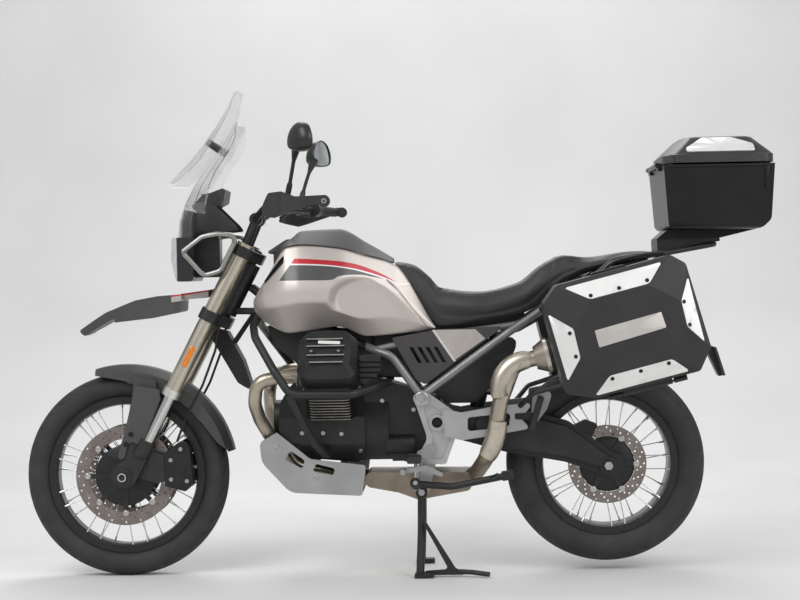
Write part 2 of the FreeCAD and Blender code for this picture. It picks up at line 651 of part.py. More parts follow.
flange = leaned(slab("barrel_flange", square(62, -60, 60, 16), BASE_OUT + gap, 178, "XY_Plane"))
barrel = leaned(slab("barrel", square(50, -50, 50, 40), 175, 300, "XY_Plane"))
fins = [leaned(slab("fin_%d" % (i + 1), square(76, -74, 76, 24), 184 + i * size("fin_pitch"),
                    "%g + dims.fin_thickness" % (184 + i * size("fin_pitch")), "XY_Plane"))
        for i in range(int(size("fin_count")))]
head = leaned(slab("head", square(80, -82, 80, 22), 288, 345, "XY_Plane"))
cover_wires = [wire_at(square(reach, low, high, corner), Vector(0, 0, out), (1, 0, 0), (0, 1, 0))
               for out, reach, low, high, corner in
               [(345, 90, -94, 88, 34), (392, 92, -96, 88, 36), (424, 72, -86, 66, 30)]]
cover = leaned(loft("rocker_cover", cover_wires))
COVER_OUT = 424
# ribs on the rocker cover: place across it, from x, to x
cover_ribs = [leaned(slab("cover_rib_%d" % i, [(back, at - 2.5, 2), (front, at - 2.5, 2),
                                               (front, at + 2.5, 2), (back, at + 2.5, 2)],
                          COVER_OUT - 6, COVER_OUT + 6, "XY_Plane"))
              for i, (at, back, front) in enumerate([
                  (-46, 152, 266), (-16, 146, 264), (22, 146, 262), (52, 150, 254)], start=1)]
bolt_rings = [leaned(rod("bolt_ring_%d" % i, Vector(x, 3, COVER_OUT - 6),
                         Vector(x, 3, COVER_OUT + 4), 12)) for i, x in ((1, 165), (2, 250))]
bolt_holes = [leaned(rod("bolt_hole_%d" % i, Vector(x, 3, COVER_OUT - 3),
                         Vector(x, 3, COVER_OUT + 10), 8)) for i, x in ((1, 165), (2, 250))]
port = rod("exhaust_port", Vector(278, 238, 648), Vector(300, 242, 648), 30)
intake = rod("intake_stub", Vector(101, 214, 668), Vector(124, 214, 668), 24)
left_cylinder = cut("left_cylinder", fuse("cylinder_solid", [
    flange, barrel, head, cover, port, intake] + fins + cover_ribs + bolt_rings), bolt_holes)
node("cylinders", both_sides("cylinders", left_cylinder))
throttle_box = slab("throttle_box", [
    (100.8, 714, 8), (38, 712, 12), (38, 660, 14), (84, 622, 12), (100.8, 628, 6)], 168, 262)
throttle_grooves = [box("throttle_groove_%d" % i, (30, 250, z), (110, 270, z + 6))
                    for i, z in enumerate((640, 656, 672, 688), start=1)]
node("throttle_bodies", both_sides("throttle_bodies", cut("left_throttle", throttle_box,
                                                          throttle_grooves)))

# -------------------------------------------------------------------------- body work
# half sections of the tank from front to back: x, then (y, z) of the bottom edge, the
# belly, the shoulder and the top edge, and the share of the full corner radii
TANK_SECTIONS = [
    (448, (62, 854), (90, 869), (92, 880), (80, 892), 0.15),
    (404, (84, 812), (140, 862), (150, 890), (124, 956.5), 0.6),
    (330, (118, 782), (188, 874), (194, 925), (150, 1056), 1),
    (290, (126, 786), (198, 882), (200, 935), (152, 1061), 1),
    (170, (128, 800), (196, 880), (194, 935), (146, 1050), 1),
    (84, (112, 768), (160, 840), (168, 925), (128, 1026), 1),
    (-2, (104, 772), (134, 830), (138, 900), (104, 999.5), 0.6),
    (-134, (96, 787), (108, 789), (108, 793), (98, 797), 0.05)]


def body_section(x, half, radii):
    """A closed section across the machine from the corners of its left half."""
    left = [(y, z, radius) for (y, z), radius in zip(half, radii)]
    right = [(-y, z, radius) for y, z, radius in reversed(left)]
    return wire_at(left + right, Vector(x, 0, 0), (0, 1, 0), (0, 0, 1))


tank_solid = loft("tank_solid", [
    body_section(x, (bottom, belly, shoulder, top), [share * radius for radius in (12, 30, 44, 10)])
    for x, bottom, belly, shoulder, top, share in TANK_SECTIONS])
tunnel = slab("tank_tunnel", [
    (470, 740), (470, 990), (400, 930), (330, 900), (90, 828), (-20, 790), (-20, 740)], -66, 66)
KNEE_DEG = 11.6
KNEE_FRONT = Vector(213, 182, 0)
knee_outline = [(213, 891, 8), (211, 908, 8), (195, 939, 20), (168, 959, 20), (123, 962, 30),
                (62, 954, 40), (9, 940, 20), (-13, 913, 20), (-52, 864), (-110, 792), (40, 740),
                (100, 774, 20), (170, 828, 30), (200, 864, 20)]
knee_recess = slab("knee_recess", [
    ((corner[0] - KNEE_FRONT.x) / math.cos(math.radians(KNEE_DEG)),) + corner[1:]
    for corner in knee_outline], 0, 60)
knee_recess.Placement = Placement(KNEE_FRONT, Rotation(Vector(0, 0, 1), KNEE_DEG))
vent_slot = slab("vent_slot", [
    (342, 1028, 4), (350, 1020, 4), (405, 954, 4), (409, 942, 3), (402, 944, 3), (344, 1008, 4)],
    132, 215)
tank_feet = cut("tank_feet", both_sides("tank_foot_pair", box(
    "tank_foot", (-125, 86, 762), (-95, 106, 790))), [rail_room, mirrored("rail_room_right", rail_room)])
tank_cut = cut("tank_cut", tank_solid, [tunnel, knee_recess,
                                        mirrored("knee_recess_right", knee_recess),
                                        vent_slot, mirrored("vent_slot_right", vent_slot)])
node("fuel_tank", fuse("fuel_tank", [tank_cut, tank_feet]))
# the cover's sections: x, then (y, z) of its edge on the tank and of its flat top
COVER_SECTIONS = [
    (384, (54, 983.7), (50, 1053.5)), (330, (150, 1056.3), (68, 1082)),
    (290, (152, 1061.3), (70, 1109)), (170, (146, 1050.3), (70, 1113)),
    (84, (128, 1026.3), (60, 1069)), (-2, (104, 999.8), (50, 1017))]
cover_body = loft("cover_body", [body_section(x, (edge, top), (0, 0))
                                 for x, edge, top in COVER_SECTIONS])
cover_lip = slab("cover_lip", [
    (380, 1042), (398, 1034), (404, 1044, 6), (340, 1084, 10), (326, 1084), (326, 1060)], -60, 60)
node("tank_cover", fuse("tank_cover", [cover_body, cover_lip]))
# the seat's half sections: x, then (y, z) of the lower edge, the side and the top edge
SEAT_SECTIONS = [
    (-8, (70, 1000), (78, 1004), (62, 1010), 0.1), (-60, (92, 915), (108, 945), (76, 996), 1),
    (-112, (104, 834), (124, 890), (92, 955), 1), (-150, (112, 792), (132, 870), (104, 916), 1),
    (-280, (120, 806), (162, 850), (128, 901), 1), (-404, (118, 828), (160, 880), (124, 926), 1),
    (-484, (112, 868), (150, 930), (116, 984), 1), (-544, (104, 916), (136, 962), (112, 1013), 1),
    (-620, (98, 955), (126, 985), (104, 1006), 0.5), (-760, (90, 985), (116, 1008), (96, 1022), 0.4),
    (-846, (80, 1006), (92, 1014), (74, 1024), 0.25)]
seat_body = loft("seat_body", [
    body_section(x, (low, middle, top), [share * radius for radius in (8, 24, 24)])
    for x, low, middle, top, share in SEAT_SECTIONS])
seat_pads = cut("seat_pads", both_sides("seat_pad_pairs", together("seat_pad_pair", [
    box("front_seat_pad", (-250, 88, 780), (-226, 108, 812)),
    box("rear_seat_pad", (-744, 84, 944), (-720, 102, 988))])),
    [rail_room, mirrored("rail_room_far", rail_room)])
node("seat", fuse("seat", [seat_body, seat_pads]))
panel = slab("side_panel", [
    (6, 761, 6), (-141, 786), (-261, 789), (-357, 794, 6), (-290, 746, 20), (-198, 682, 20),
    (-100, 610, 14), (-70, 626, 10)], 111.4, "dims.frame_tube_y - dims.frame_tube_radius - 0.2")
louvres = [slab("louvre_%d" % i, [(x, 730), (x - 12, 730), (x - 40, 680), (x - 28, 680)], 108, 130)
           for i, x in enumerate((-50, -76, -102, -128), start=1)]
node("side_panels", both_sides("side_panels", cut("left_side_panel", panel, louvres)))

beak_side = slab("beak_side", [
    (1027, 797, 8), (1005, 781, 6), (918, 822, 90), (800, 834, 60), (684, 856, 8), (680, 912),
    (757, 907, 60), (828, 895, 80), (930, 856, 90)], -100, 100)
beak_plan = slab("beak_plan", [
    (675, 88), (700, 95, 20), (860, 88, 60), (960, 62, 60), (1032, 20, 14), (1032, -20, 14),
    (960, -62, 60), (860, -88, 60), (700, -95, 20), (675, -88)], 760, 930, "XY_Plane")
tongue = slab("beak_tongue", [(690, 913), (600.3, 924), (600.3, 900), (690, 893)], -32, 32)
beak_under = slab("beak_under", [
    (985, 770), (985, 792, 8), (905, 836, 90), (800, 852, 60), (690, 872), (690, 770)], -78, 78)
node("beak", cut("beak", fuse("beak_solid", [common("beak_skin", [beak_side, beak_plan]), tongue]),
                 [beak_under]))

# ---------------------------------------------------------------- screen and fairing
def sheet_wire(profile, y, back, thickness, lead):
    """A closed band along a side profile, set back from it, at one width."""
    last = len(profile) - 1
    middle = [Vector(x - back * (1 - 0.55 * i / last), y, z) for i, (x, z) in enumerate(profile)]
    front, behind = [], []
    for i, point in enumerate(middle):
        run = middle[min(i + 1, last)] - middle[max(i - 1, 0)]
        normal = Vector(-run.z, 0, run.x).normalize()
        front.append(point - normal * lead)
        behind.append(point + normal * thickness)
    return Part.makePolygon(front + behind[::-1] + [front[0]])


def bent_sheet(name, profile, half_width, set_back, thickness, lead=0):
    """A sheet bent back towards both edges, reaching lead mm ahead of its profile."""
    shares = (-1, -0.72, -0.4, 0, 0.4, 0.72, 1)
    return loft(name, [sheet_wire(profile, half_width * share, set_back * share * share,
                                  thickness, lead) for share in shares])


SCREEN = [(700, 1092), (694, 1150), (676, 1204), (648, 1258), (612, 1308), (571, 1358),
          (537, 1408), (508, 1462)]
SCREEN_BACK = 110
screen_sheet = bent_sheet("screen_sheet", SCREEN, size("screen_half_width"), SCREEN_BACK,
                          size("screen_thickness"))
screen_front = slab("screen_front", [
    (-110, 1090, 30), (-170, 1120, 40), (-166, 1200, 60), (-148, 1300, 80), (-150, 1400, 60),
    (-110, 1464, 50), (110, 1464, 50), (150, 1400, 60), (148, 1300, 80), (166, 1200, 60),
    (170, 1120, 40), (110, 1090, 30)], 380, 740, "YZ_Plane")
DEFLECTOR = [(734, 1266), (653, 1343), (608, 1396), (570, 1448), (530, 1510), (499, 1570)]
deflector_sheet = bent_sheet("deflector_sheet", DEFLECTOR, 165, 60, size("screen_thickness"))
deflector_front = slab("deflector_front", [
    (-140, 1264, 20), (-160, 1310, 40), (-150, 1480, 90), (-90, 1572, 60), (90, 1572, 60),
    (150, 1480, 90), (160, 1310, 40), (140, 1264, 20)], 380, 760, "YZ_Plane")
screen_room = bent_sheet("screen_room", SCREEN, size("screen_half_width"), SCREEN_BACK,
                         size("screen_thickness") + 0.3, 90)
lamp_side = slab("lamp_side", [
    (712, 1080, 14), (716, 1022, 10), (692, 952, 12), (636, 954, 8), (632, 1176, 10),
    (686, 1186, 8)], -120, 120)
lamp_plan = slab("lamp_plan", [
    (720, 50, 30), (690, 112, 30), (630, 120), (630, -120), (690, -112, 30), (720, -50, 30)],
    940, 1200, "XY_Plane")
lamp_neck = slab("lamp_neck", [(640, 985), (560, 992), (560, 1088, 10), (600, 1176), (640, 1176)],
                 -34, 34)
lamp_foot = slab("lamp_foot", [(640, 965), (560, 965), (560, 1000), (640, 1000)], -30, 30)
lamp_body = cut("lamp_body", common("lamp_block", [lamp_side, lamp_plan]), [screen_room])
node("headlight", fuse("headlight", [lamp_body, lamp_neck, lamp_foot]))
BRACKET_Y = 146
loop_route = [(664, BRACKET_Y, 1048), (602, BRACKET_Y, 1094), (556, BRACKET_Y, 1102),
              (486, BRACKET_Y, 1096), (546, BRACKET_Y, 984), (600, BRACKET_Y, 970),
              (660, BRACKET_Y, 1040)]
loop = tube("bracket_loop", loop_route, 26, 8)
loop_foot = rod("bracket_foot", Vector(660, 117.3, 1046), Vector(660, BRACKET_Y, 1046), 9)
node("headlight_bracket", both_sides("headlight_bracket", fuse("left_bracket", [loop, loop_foot])))
instrument_pod = slab("instrument_pod", [
    (540, 1206, 8), (532, 1254, 8), (582, 1236), (604, 1232, 6), (642, 1194, 6), (629, 1176.3),
    (596, 1176.3, 8)], -80, 80)
node("instrument", instrument_pod)


# -------------------------------------------------------------------- screen pieces
node("windscreen", together("windscreen", [
    common("main_screen", [screen_sheet, screen_front]),
    common("deflector", [deflector_sheet, deflector_front])]))
clamp_route = [Vector(548, 84, 1372), Vector(585, 84, 1399)]
left_clamp = cut("left_clamp", rod("left_clamp_rod", clamp_route[0], clamp_route[1], 12),
                 [screen_sheet, deflector_sheet])
node("screen_clamps", both_sides("screen_clamps", left_clamp))
cooler = slab("oil_cooler_block", [
    (574, 797, 8), (592, 768, 6), (508, 622, 8), (472, 600, 6), (464, 612, 6), (490, 694, 20),
    (540, 788, 8)], -44, 44)
cooler_stays = [rod("cooler_stay_%d" % i, Vector(528, side * 1.6, 742), Vector(452, side, 850), 6)
                for i, side in ((1, 21), (2, -21))]
node("oil_cooler", cut("oil_cooler", fuse("oil_cooler_solid", [cooler] + cooler_stays),
                       [gusset_room, mirrored("gusset_room_right", gusset_room)]))

# ------------------------------------------------- side castings, footrests, controls
plate_out = size("plate_inner_y") + size("plate_thickness")
casting = slab("casting", CASTING, "dims.plate_inner_y",
               "dims.plate_inner_y + dims.plate_thickness")
relief = slab("casting_relief", [
    (-96, 552, 8), (-118, 546, 8), (-176, 512, 8), (-182, 456, 10), (-152, 374, 8),
    (-112, 374, 8), (-120, 440, 30), (-94, 532, 10)], plate_out - 9, plate_out + 10)
pivot_ring = cross_rod("pivot_ring", SWINGARM_PIVOT[0], SWINGARM_PIVOT[1], "dims.plate_inner_y",
                       "dims.plate_inner_y + dims.plate_thickness", 27)
pivot_hole = cross_rod("pivot_hole", SWINGARM_PIVOT[0], SWINGARM_PIVOT[1], 100, 160, 17)
lower_boss = cross_rod("lower_boss", -122, 407, "dims.plate_inner_y",
                       "dims.plate_inner_y + dims.plate_thickness", 17)
cap_boss = cross_rod("cap_boss", PIVOT_CAP[0], PIVOT_CAP[1], HALF + gap, plate_out + 8, 24)
foot_boss = cross_rod("foot_boss", -112, 410, HALF + gap, "dims.plate_inner_y + 1", 14)
CX, CZ, CY = size("centre_stand_x"), size("centre_stand_z"), size("centre_stand_y")
stand_lug = slab("stand_lug", [
    (-132, 368, 6), (-58, 368, 6), (-62, 262, 16), (-84, 248, 16), (-104, 262, 16)],
    HALF + 2, CY - 14)
lug_root = slab("lug_root", [(-120, 366), (-70, 366), (-70, 388), (-120, 388)], HALF + 2, 118)
stand_pin = cross_rod("stand_pin", CX, CZ, HALF + 2, CY + 15, 10)
side_plate = cut("left_side_plate", fuse("plate_solid", [
    cut("casting_relieved", casting, [relief]), pivot_ring, lower_boss, cap_boss, foot_boss,
    stand_lug, lug_root, stand_pin]), [pivot_hole])
SIDE_PIVOT = Vector(-64, size("side_stand_y"), 300)
SIDE_AXIS = Vector(-0.039, -0.922, -0.385).normalize()
side_pin = rod("side_pin", SIDE_PIVOT - SIDE_AXIS * 11, SIDE_PIVOT + SIDE_AXIS * 20, 7)
side_disc = rod("side_disc", SIDE_PIVOT + SIDE_AXIS * 15, SIDE_PIVOT + SIDE_AXIS * 27, 16)
side_post = rod("side_post", SIDE_PIVOT + SIDE_AXIS * 26, Vector(-70, 128, 366), 10)
plate_with_pivot = fuse("plate_with_pivot", [side_plate, side_pin, side_disc, side_post])
node("side_plates", together("side_plates", [plate_with_pivot,
                                             mirrored("right_side_plate", side_plate)]))
peg_plate = slab("peg_plate", [
    (-150, 536, 10), (-212, 522, 10), (-300, 536), (-440, 549, 8), (-402, 500, 8),
    (-430, 468, 8), (-300, 446), (-213, 434, 10), (-160, 446, 10)], plate_out + gap, plate_out + 15)
peg_window = slab("peg_window", [
    (-232, 506, 10), (-300, 512), (-378, 520, 12), (-362, 494, 12), (-380, 478, 12), (-300, 468),
    (-232, 462, 10)], plate_out - 5, plate_out + 30)
peg_plate_left = cut("peg_plate_left", peg_plate, [peg_window])
node("peg_brackets", both_sides("peg_brackets", peg_plate_left))
rest_y = plate_out + 15 + gap
passenger_peg = slab("passenger_peg", [
    (-456, 574, 4), (-424, 466, 4), (-440, 460, 4), (-474, 568, 4)], rest_y + 5, rest_y + 42)
heel_plate = slab("heel_plate", [
    (-440, 578, 8), (-504, 590, 14), (-484, 530, 20), (-428, 458, 8)], rest_y, rest_y + 6)
peg_pin = cross_rod("peg_pin", -390, 507, rest_y, rest_y + 12, 7)
peg_arm = slab("peg_arm", [(-382, 516, 4), (-452, 520), (-446, 496), (-382, 498, 4)],
               rest_y, rest_y + 8)
rider_peg = slab("rider_peg", [
    (-40, 392, 8), (-84, 392, 8), (-84, 372, 6), (-40, 372, 6)], plate_out + gap, 262)
rider_mount = slab("rider_mount", [(-70, 400, 6), (-128, 426, 8), (-132, 392, 8), (-70, 366, 6)],
                   plate_out + gap, plate_out + 12)
passenger_rest = fuse("passenger_rest", [passenger_peg, heel_plate, peg_pin, peg_arm])
rider_rest = fuse("rider_rest", [rider_peg, rider_mount])
pedal_arm = slab("pedal_arm", [
    (-20, 350, 6), (-100, 362, 9), (-152, 334, 6), (-150, 322, 6), (-96, 342, 6), (-20, 336, 6)],
    190, 199)
pedal_tip = cross_rod("pedal_tip", -26, 344, 196, 240, 9)
pedal_boss = cross_rod("pedal_boss", -96, 352, plate_out + gap, 192, 9)
left_pedal = fuse("left_pedal", [pedal_arm, pedal_tip, pedal_boss])
node("foot_controls", both_sides("foot_controls", together("left_foot_controls", [
    passenger_rest, rider_rest, left_pedal])))

# --------------------------------------------------------------------------- exhaust
header = tube("left_header", [
    (300.3, 242.1, 648), (356, 252.2, 648), (424, 258, 634), (434, 242, 566), (424, 180, 512),
    (396, 128, 450), (326, 98, 338), (210, 66, 312), (96, 60, 306)], 60, "dims.header_radius")
collector_box = slab("collector_box", [
    (100, 330, 20), (96, 284, 20), (-8, 264, 20), (-72, 240, 20), (-236, 268, 20), (-262, 326, 20)],
    -92, 92)
SILENCER_START = Vector(-446.5, size("silencer_y"), 692.2)
SILENCER_END = Vector(-820, size("silencer_y"), 778)
back_dir = (SILENCER_END - SILENCER_START).normalize()
link_pipe = tube("link_pipe", [
    (-236, 50, 304), (-262, 90, 330), (-286, 160, 372), (-312, 192, 440), (-336, 196, 560),
    SILENCER_START - back_dir * 66, SILENCER_START - back_dir * 0.3], 70, 25)
node("exhaust_pipes", fuse("exhaust_pipes", [
    header, mirrored("right_header", header), collector_box, link_pipe]))
silencer_body = rod("silencer_body", SILENCER_START + back_dir * 34, SILENCER_END,
                    "dims.silencer_radius")
silencer_neck = doc.addObject("Part::Cone", "silencer_neck")
silencer_neck.Radius1 = 36
drive(silencer_neck, "Radius2", "dims.silencer_radius")
silencer_neck.Height = 36
silencer_neck.Placement = Placement(SILENCER_START, Rotation(Vector(0, 0, 1), back_dir))
tail_pipe = rod("tail_pipe", SILENCER_END - back_dir * 20, SILENCER_END + back_dir * 30, 20)
tail_bore = rod("tail_bore", SILENCER_END - back_dir * 5, SILENCER_END + back_dir * 40, 17)
silencer_ring = rod("silencer_ring", SILENCER_START + back_dir * 33, SILENCER_START + back_dir * 44,
                    "dims.silencer_radius + 2.5")
node("silencer", cut("silencer", fuse("silencer_solid", [
    silencer_body, silencer_neck, silencer_ring, tail_pipe]), [tail_bore]))
skid_outer = slab("skid_outer", [
    (373, 469, 6), (428, 438, 20), (423, 375, 60), (333, 277, 60), (105, 264, 10), (92, 361, 10),
    (268, 383, 40)], -170, 170)
skid_inner = slab("skid_inner", [
    (372, 500), (424.5, 470), (423.5, 436, 18), (418.5, 377, 58), (331, 281.5, 58), (60, 266),
    (60, 520), (330, 520)], -165.5, 165.5)
skid_holes = [slab("skid_hole_%d" % i, outline, -180, 180) for i, outline in enumerate([
    [(250, 368, 8), (190, 352, 8), (196, 330, 8), (262, 344, 8)],
    [(330, 410, 8), (286, 380, 8), (292, 352, 8), (350, 384, 8)]], start=1)]
node("skid_plate", cut("skid_plate", skid_outer, [skid_inner] + skid_holes))
crash_upper = tube("crash_upper", [
    (438, 52, 832), (446, 120, 806), (432, 210, 772), (366, 296, 670), (316, 318, 596),
    (124, 318, 594), (52, 250, 612), (24, 150, 620), (18, 97, 620)], 50, "dims.crash_bar_radius")
crash_lower = tube("crash_lower", [
    (318, 318, 600), (280, 268, 500), (250, 226, 440), (222, 176, 400), (214, 152, 392)],
    50, "dims.crash_bar_radius")
node("crash_bars", both_sides("crash_bars", fuse("left_crash_bar", [crash_upper, crash_lower])))

# --------------------------------------------------------------------- rear suspension
arm_left = slab("swingarm_left", [
    (-110, 512, 14), (-166, 534, 20), (-368, 534, 60), (-552, 488, 60), (-690, 386),
    (-724, 374, 14), (-724, 322, 14), (-688, 304, 14), (-540, 357, 80), (-357, 390, 60),
    (-180, 440, 60), (-112, 462, 14)], 98, 110)
arm_bulge = slab("swingarm_bulge", [
    (-260, 512, 30), (-368, 516, 60), (-548, 470, 60), (-686, 368, 14), (-700, 326, 14),
    (-548, 376, 80), (-362, 406, 60), (-260, 424, 30)], 98, 134)
arm_right = tube("shaft_tube", [(-206, -109, 482), (-300, -109, 474), (-540, -110, 404),
                                (-606, -122, 374)], 60, 28)
arm_root = slab("arm_root", [(-112, 512, 14), (-226, 512, 14), (-226, 452, 14), (-112, 462, 14)],
                -111, -98)
arm_bridge = slab("arm_bridge", [(-230, 520, 14), (-300, 520, 14), (-300, 440, 14), (-230, 440, 14)],
                  -110, 104)
drive_case = turned("final_drive_case", [
    (-158, 20), (-158, 52), (-138, 86, 8), (-86, 92, 6), (-86, 20)], REAR_AXLE)
rear_shaft = cross_rod("rear_shaft", REAR_AXLE.x, REAR_AXLE.z, -150, 142, "dims.rear_axle_radius")
case_fill = cross_rod("case_fill", REAR_AXLE.x, REAR_AXLE.z, -158, -86, 22)
axle_nut = cross_rod("axle_nut", REAR_AXLE.x, REAR_AXLE.z, 133, 146, 17)
arm_axle_boss = cross_rod("arm_axle_boss", REAR_AXLE.x, REAR_AXLE.z, 98, 136, 28)
pivot_clear = cross_rod("pivot_clear", SWINGARM_PIVOT[0], SWINGARM_PIVOT[1], -170, 170, 11.2)
swing_solid = fuse("swing_solid", [arm_left, arm_bulge, arm_right, arm_root, arm_bridge, drive_case,
                                   rear_shaft, case_fill, axle_nut, arm_axle_boss])
node("swingarm", cut("swingarm", swing_solid, [pivot_clear]))
rear_caliper_block = slab("rear_caliper_block", [
    (-566, 470, 8), (-608, 490, 10), (-648, 474, 8), (-622, 424, 8), (-574, 432, 8)], 72, 108)
rear_disc_clear = turned("rear_disc_clear", [
    (size("rear_disc_y") - 7.6, 0.5), (size("rear_disc_y") - 7.6, size("rear_disc_radius") + 5.6),
    (size("rear_disc_y") + 7.6, size("rear_disc_radius") + 5.6), (size("rear_disc_y") + 7.6, 0.5)],
    REAR_AXLE)
arm_clear = slab("arm_clear", [(-500, 500), (-552, 488.2, 60), (-690, 386.2), (-690, 300), (-500, 300)],
                 97.8, 120)
node("rear_caliper", cut("rear_caliper", rear_caliper_block, [rear_disc_clear, arm_clear]))
shock = fuse("rear_shock_solid", [
    rod("shock_body", Vector(-264, 0, 526.2), Vector(-292, 0, 640), 24),
    rod("shock_spring", Vector(-276, 0, 575), Vector(-312, 0, 720), 36),
    rod("shock_rod", Vector(-300, 0, 680), Vector(-326, 0, 776), 12)])
shock_trim = cross_rod("shock_trim", -300, 786.8, -60, 60, 10.2)
node("rear_shock", cut("rear_shock", shock, [shock_trim]))

# ----------------------------------------------------------------- tail, rack, cases
under_tray = slab("under_tray", [
    (-348, 779), (-400, 785.5, 40), (-520, 853.5, 60), (-650, 914), (-860, 966), (-900, 970, 8),
    (-900, 946, 10), (-850, 930), (-700, 900), (-640, 888, 60), (-520, 838, 60), (-400, 772, 40),
    (-348, 768)], -84, 84)
PLATE_ARM = [(-862, 950), (-899, 960), (-940, 850, 60), (-1032, 700, 20), (-1060, 622, 4),
             (-1046, 616, 4), (-1012, 690, 20), (-918, 840, 60)]
plate_arm = slab("plate_arm", PLATE_ARM, -26, 26)
plate_holder = slab("plate_holder", [(-1026, 714), (-1034, 712), (-1062, 622), (-1054, 620)],
                    -58, 58)
tail_lamp = slab("tail_lamp", [(-900.3, 970, 4), (-924, 964, 8), (-922, 948, 6), (-900.3, 944, 4)],
                 -62, 62)
node("rear_mudguard", fuse("rear_mudguard", [under_tray, plate_arm, plate_holder]))
node("tail_light", cut("tail_light", tail_lamp, [
    slab("plate_arm_room", inset(PLATE_ARM, -0.3), -26.3, 26.3)]))
rail_points = [(-600, 119, 918), (-660, 140, 962), (-704, 144, 997), (-770, 144, 1008),
               (-880, 118, 1018), (-1030, 96, 1043)]
rail_route = rail_points + [(x, -y, z) for x, y, z in reversed(rail_points)]
rack_loop = tube("rack_loop", rail_route, 40, "dims.rack_tube_radius")
rack_strut = rod("rack_strut", Vector(-846, 90, 985), Vector(-880, 115, 1016), 8)
case_plate = slab("case_plate", [
    (-848, 1020), (-846, 1061.8, 4), (-1046, 1061.8, 4), (-1046, 1052), (-880, 1026)], -88, 88)
pannier_loop = tube("pannier_loop", [
    (-470, 110, 842), (-484, 160, 850), (-498, 252, 858), (-560, 252, 890), (-860, 252, 960),
    (-902, 252, 900), (-900, 252, 700), (-860, 252, 662), (-600, 252, 600), (-540, 252, 612),
    (-440, 208, 584), (-398, 164, 540)], 34, 8)
loop_stay = tube("pannier_stay", [(-850, 92, 984), (-868, 160, 975), (-858, 252, 958)], 30, 8)
bracket_room = slab("bracket_room", [
    (-150, 430), (-150, 560), (-460, 560), (-460, 430)], plate_out, plate_out + 15 + gap)
left_rack = cut("left_rack", fuse("left_rack_tubes", [pannier_loop, loop_stay, rack_strut]),
                [rail_room, bracket_room])
node("luggage_rack", fuse("luggage_rack", [rack_loop, case_plate, left_rack,
                                           mirrored("right_rack", left_rack)]))

WALL = size("case_wall")
PANNIER = [(-462, 863), (-503, 920), (-847, 1006), (-892, 980), (-964, 728), (-931, 656),
           (-617, 579), (-527, 592)]


split_y = size("pannier_split_y")
lid_y = split_y + size("lid_gap")
edge_from = Vector(PANNIER[6][0], 0, PANNIER[6][1])
edge_to = Vector(PANNIER[5][0], 0, PANNIER[5][1])
edge = (edge_to - edge_from).normalize()
below = Vector(edge.z, 0, -edge.x) if edge.x > 0 else Vector(-edge.z, 0, edge.x)
PIN_DROP = 11
HINGE_Y = (split_y + lid_y) / 2
hinge_line = [edge_from + edge * share + below * PIN_DROP + Vector(0, HINGE_Y, 0)
              for share in (40, 284)]


def hinge_piece(name, start, end, radius):
    return rod(name, hinge_line[0] + edge * start, hinge_line[0] + edge * end, radius)


shell_box = cut("shell_box", slab("shell_outside", with_radius(PANNIER, 22),
                                  "dims.pannier_inner_y", "dims.pannier_split_y"),
                [slab("shell_inside", with_radius(inset(PANNIER, WALL), 18),
                      "dims.pannier_inner_y + dims.case_wall", "dims.pannier_split_y + 5")])


def hinge_web(name, start, end, y_from, y_to):
    """A tab between the hinge and the case's lower wall."""
    a = hinge_line[0] + edge * start
    b = hinge_line[0] + edge * end
    up = below * -1
    return slab(name, [(p.x, p.z) for p in (a + up * 1, b + up * 1, b + up * (PIN_DROP + 1),
                                            a + up * (PIN_DROP + 1))], y_from, y_to)


pin = hinge_piece("pannier_pin", 0, 244, 3.5)
shell_knuckles = [hinge_piece("shell_knuckle_%d" % i, a, b, 8)
                  for i, (a, b) in enumerate([(0, 40), (204, 244)], start=1)]
shell_webs = [hinge_web("shell_web_%d" % i, a, b, split_y - 8, split_y)
              for i, (a, b) in enumerate([(0, 40), (204, 244)], start=1)]
shell = fuse("left_pannier_shell", [shell_box, pin] + shell_knuckles + shell_webs)
node("pannier_shells", both_sides("pannier_shells", shell))
# the lid's raised middle, corner by corner against the outline of the case
LID_MIDDLE = [(-552, 782), (-605, 874), (-777, 917), (-869, 870), (-888, 787), (-843, 697),
              (-656, 648), (-571, 707)]
BEVEL_Y = size("pannier_outer_y") - 26


def lid_crown(name, margin, base_y, top_y):
    """The bevelled block that rises from the lid's wall to its flat middle."""
    wires = [wire_at(with_radius(inset(corners, margin), radius), Vector(0, y, 0),
                     (1, 0, 0), (0, 0, 1))
             for corners, radius, y in ((PANNIER, 18, base_y), (LID_MIDDLE, 6, top_y))]
    return loft(name, wires)


lid_outside = fuse("lid_outside", [
    slab("lid_wall", with_radius(PANNIER, 18), lid_y, BEVEL_Y),
    lid_crown("lid_crown", 0, BEVEL_Y, size("pannier_outer_y"))])
lid_inside = fuse("lid_inside", [
    slab("lid_room", with_radius(inset(PANNIER, WALL), 14), lid_y - 5, BEVEL_Y - WALL / 2),
    lid_crown("lid_crown_room", WALL, BEVEL_Y - WALL / 2, size("pannier_outer_y") - WALL)])
lid_box = cut("lid_box", lid_outside, [lid_inside])
lid_knuckle = hinge_piece("lid_knuckle", 46, 198, 8)
lid_web = hinge_web("lid_web", 46, 198, lid_y, lid_y + 8)
lid_bore = hinge_piece("lid_bore", 30, 214, 3.8)
left_lid = cut("left_pannier_lid", fuse("lid_solid", [lid_box, lid_knuckle, lid_web]), [lid_bore])
node("pannier_left_lid", left_lid)
node("pannier_right_lid", mirrored("right_pannier_lid", left_lid))

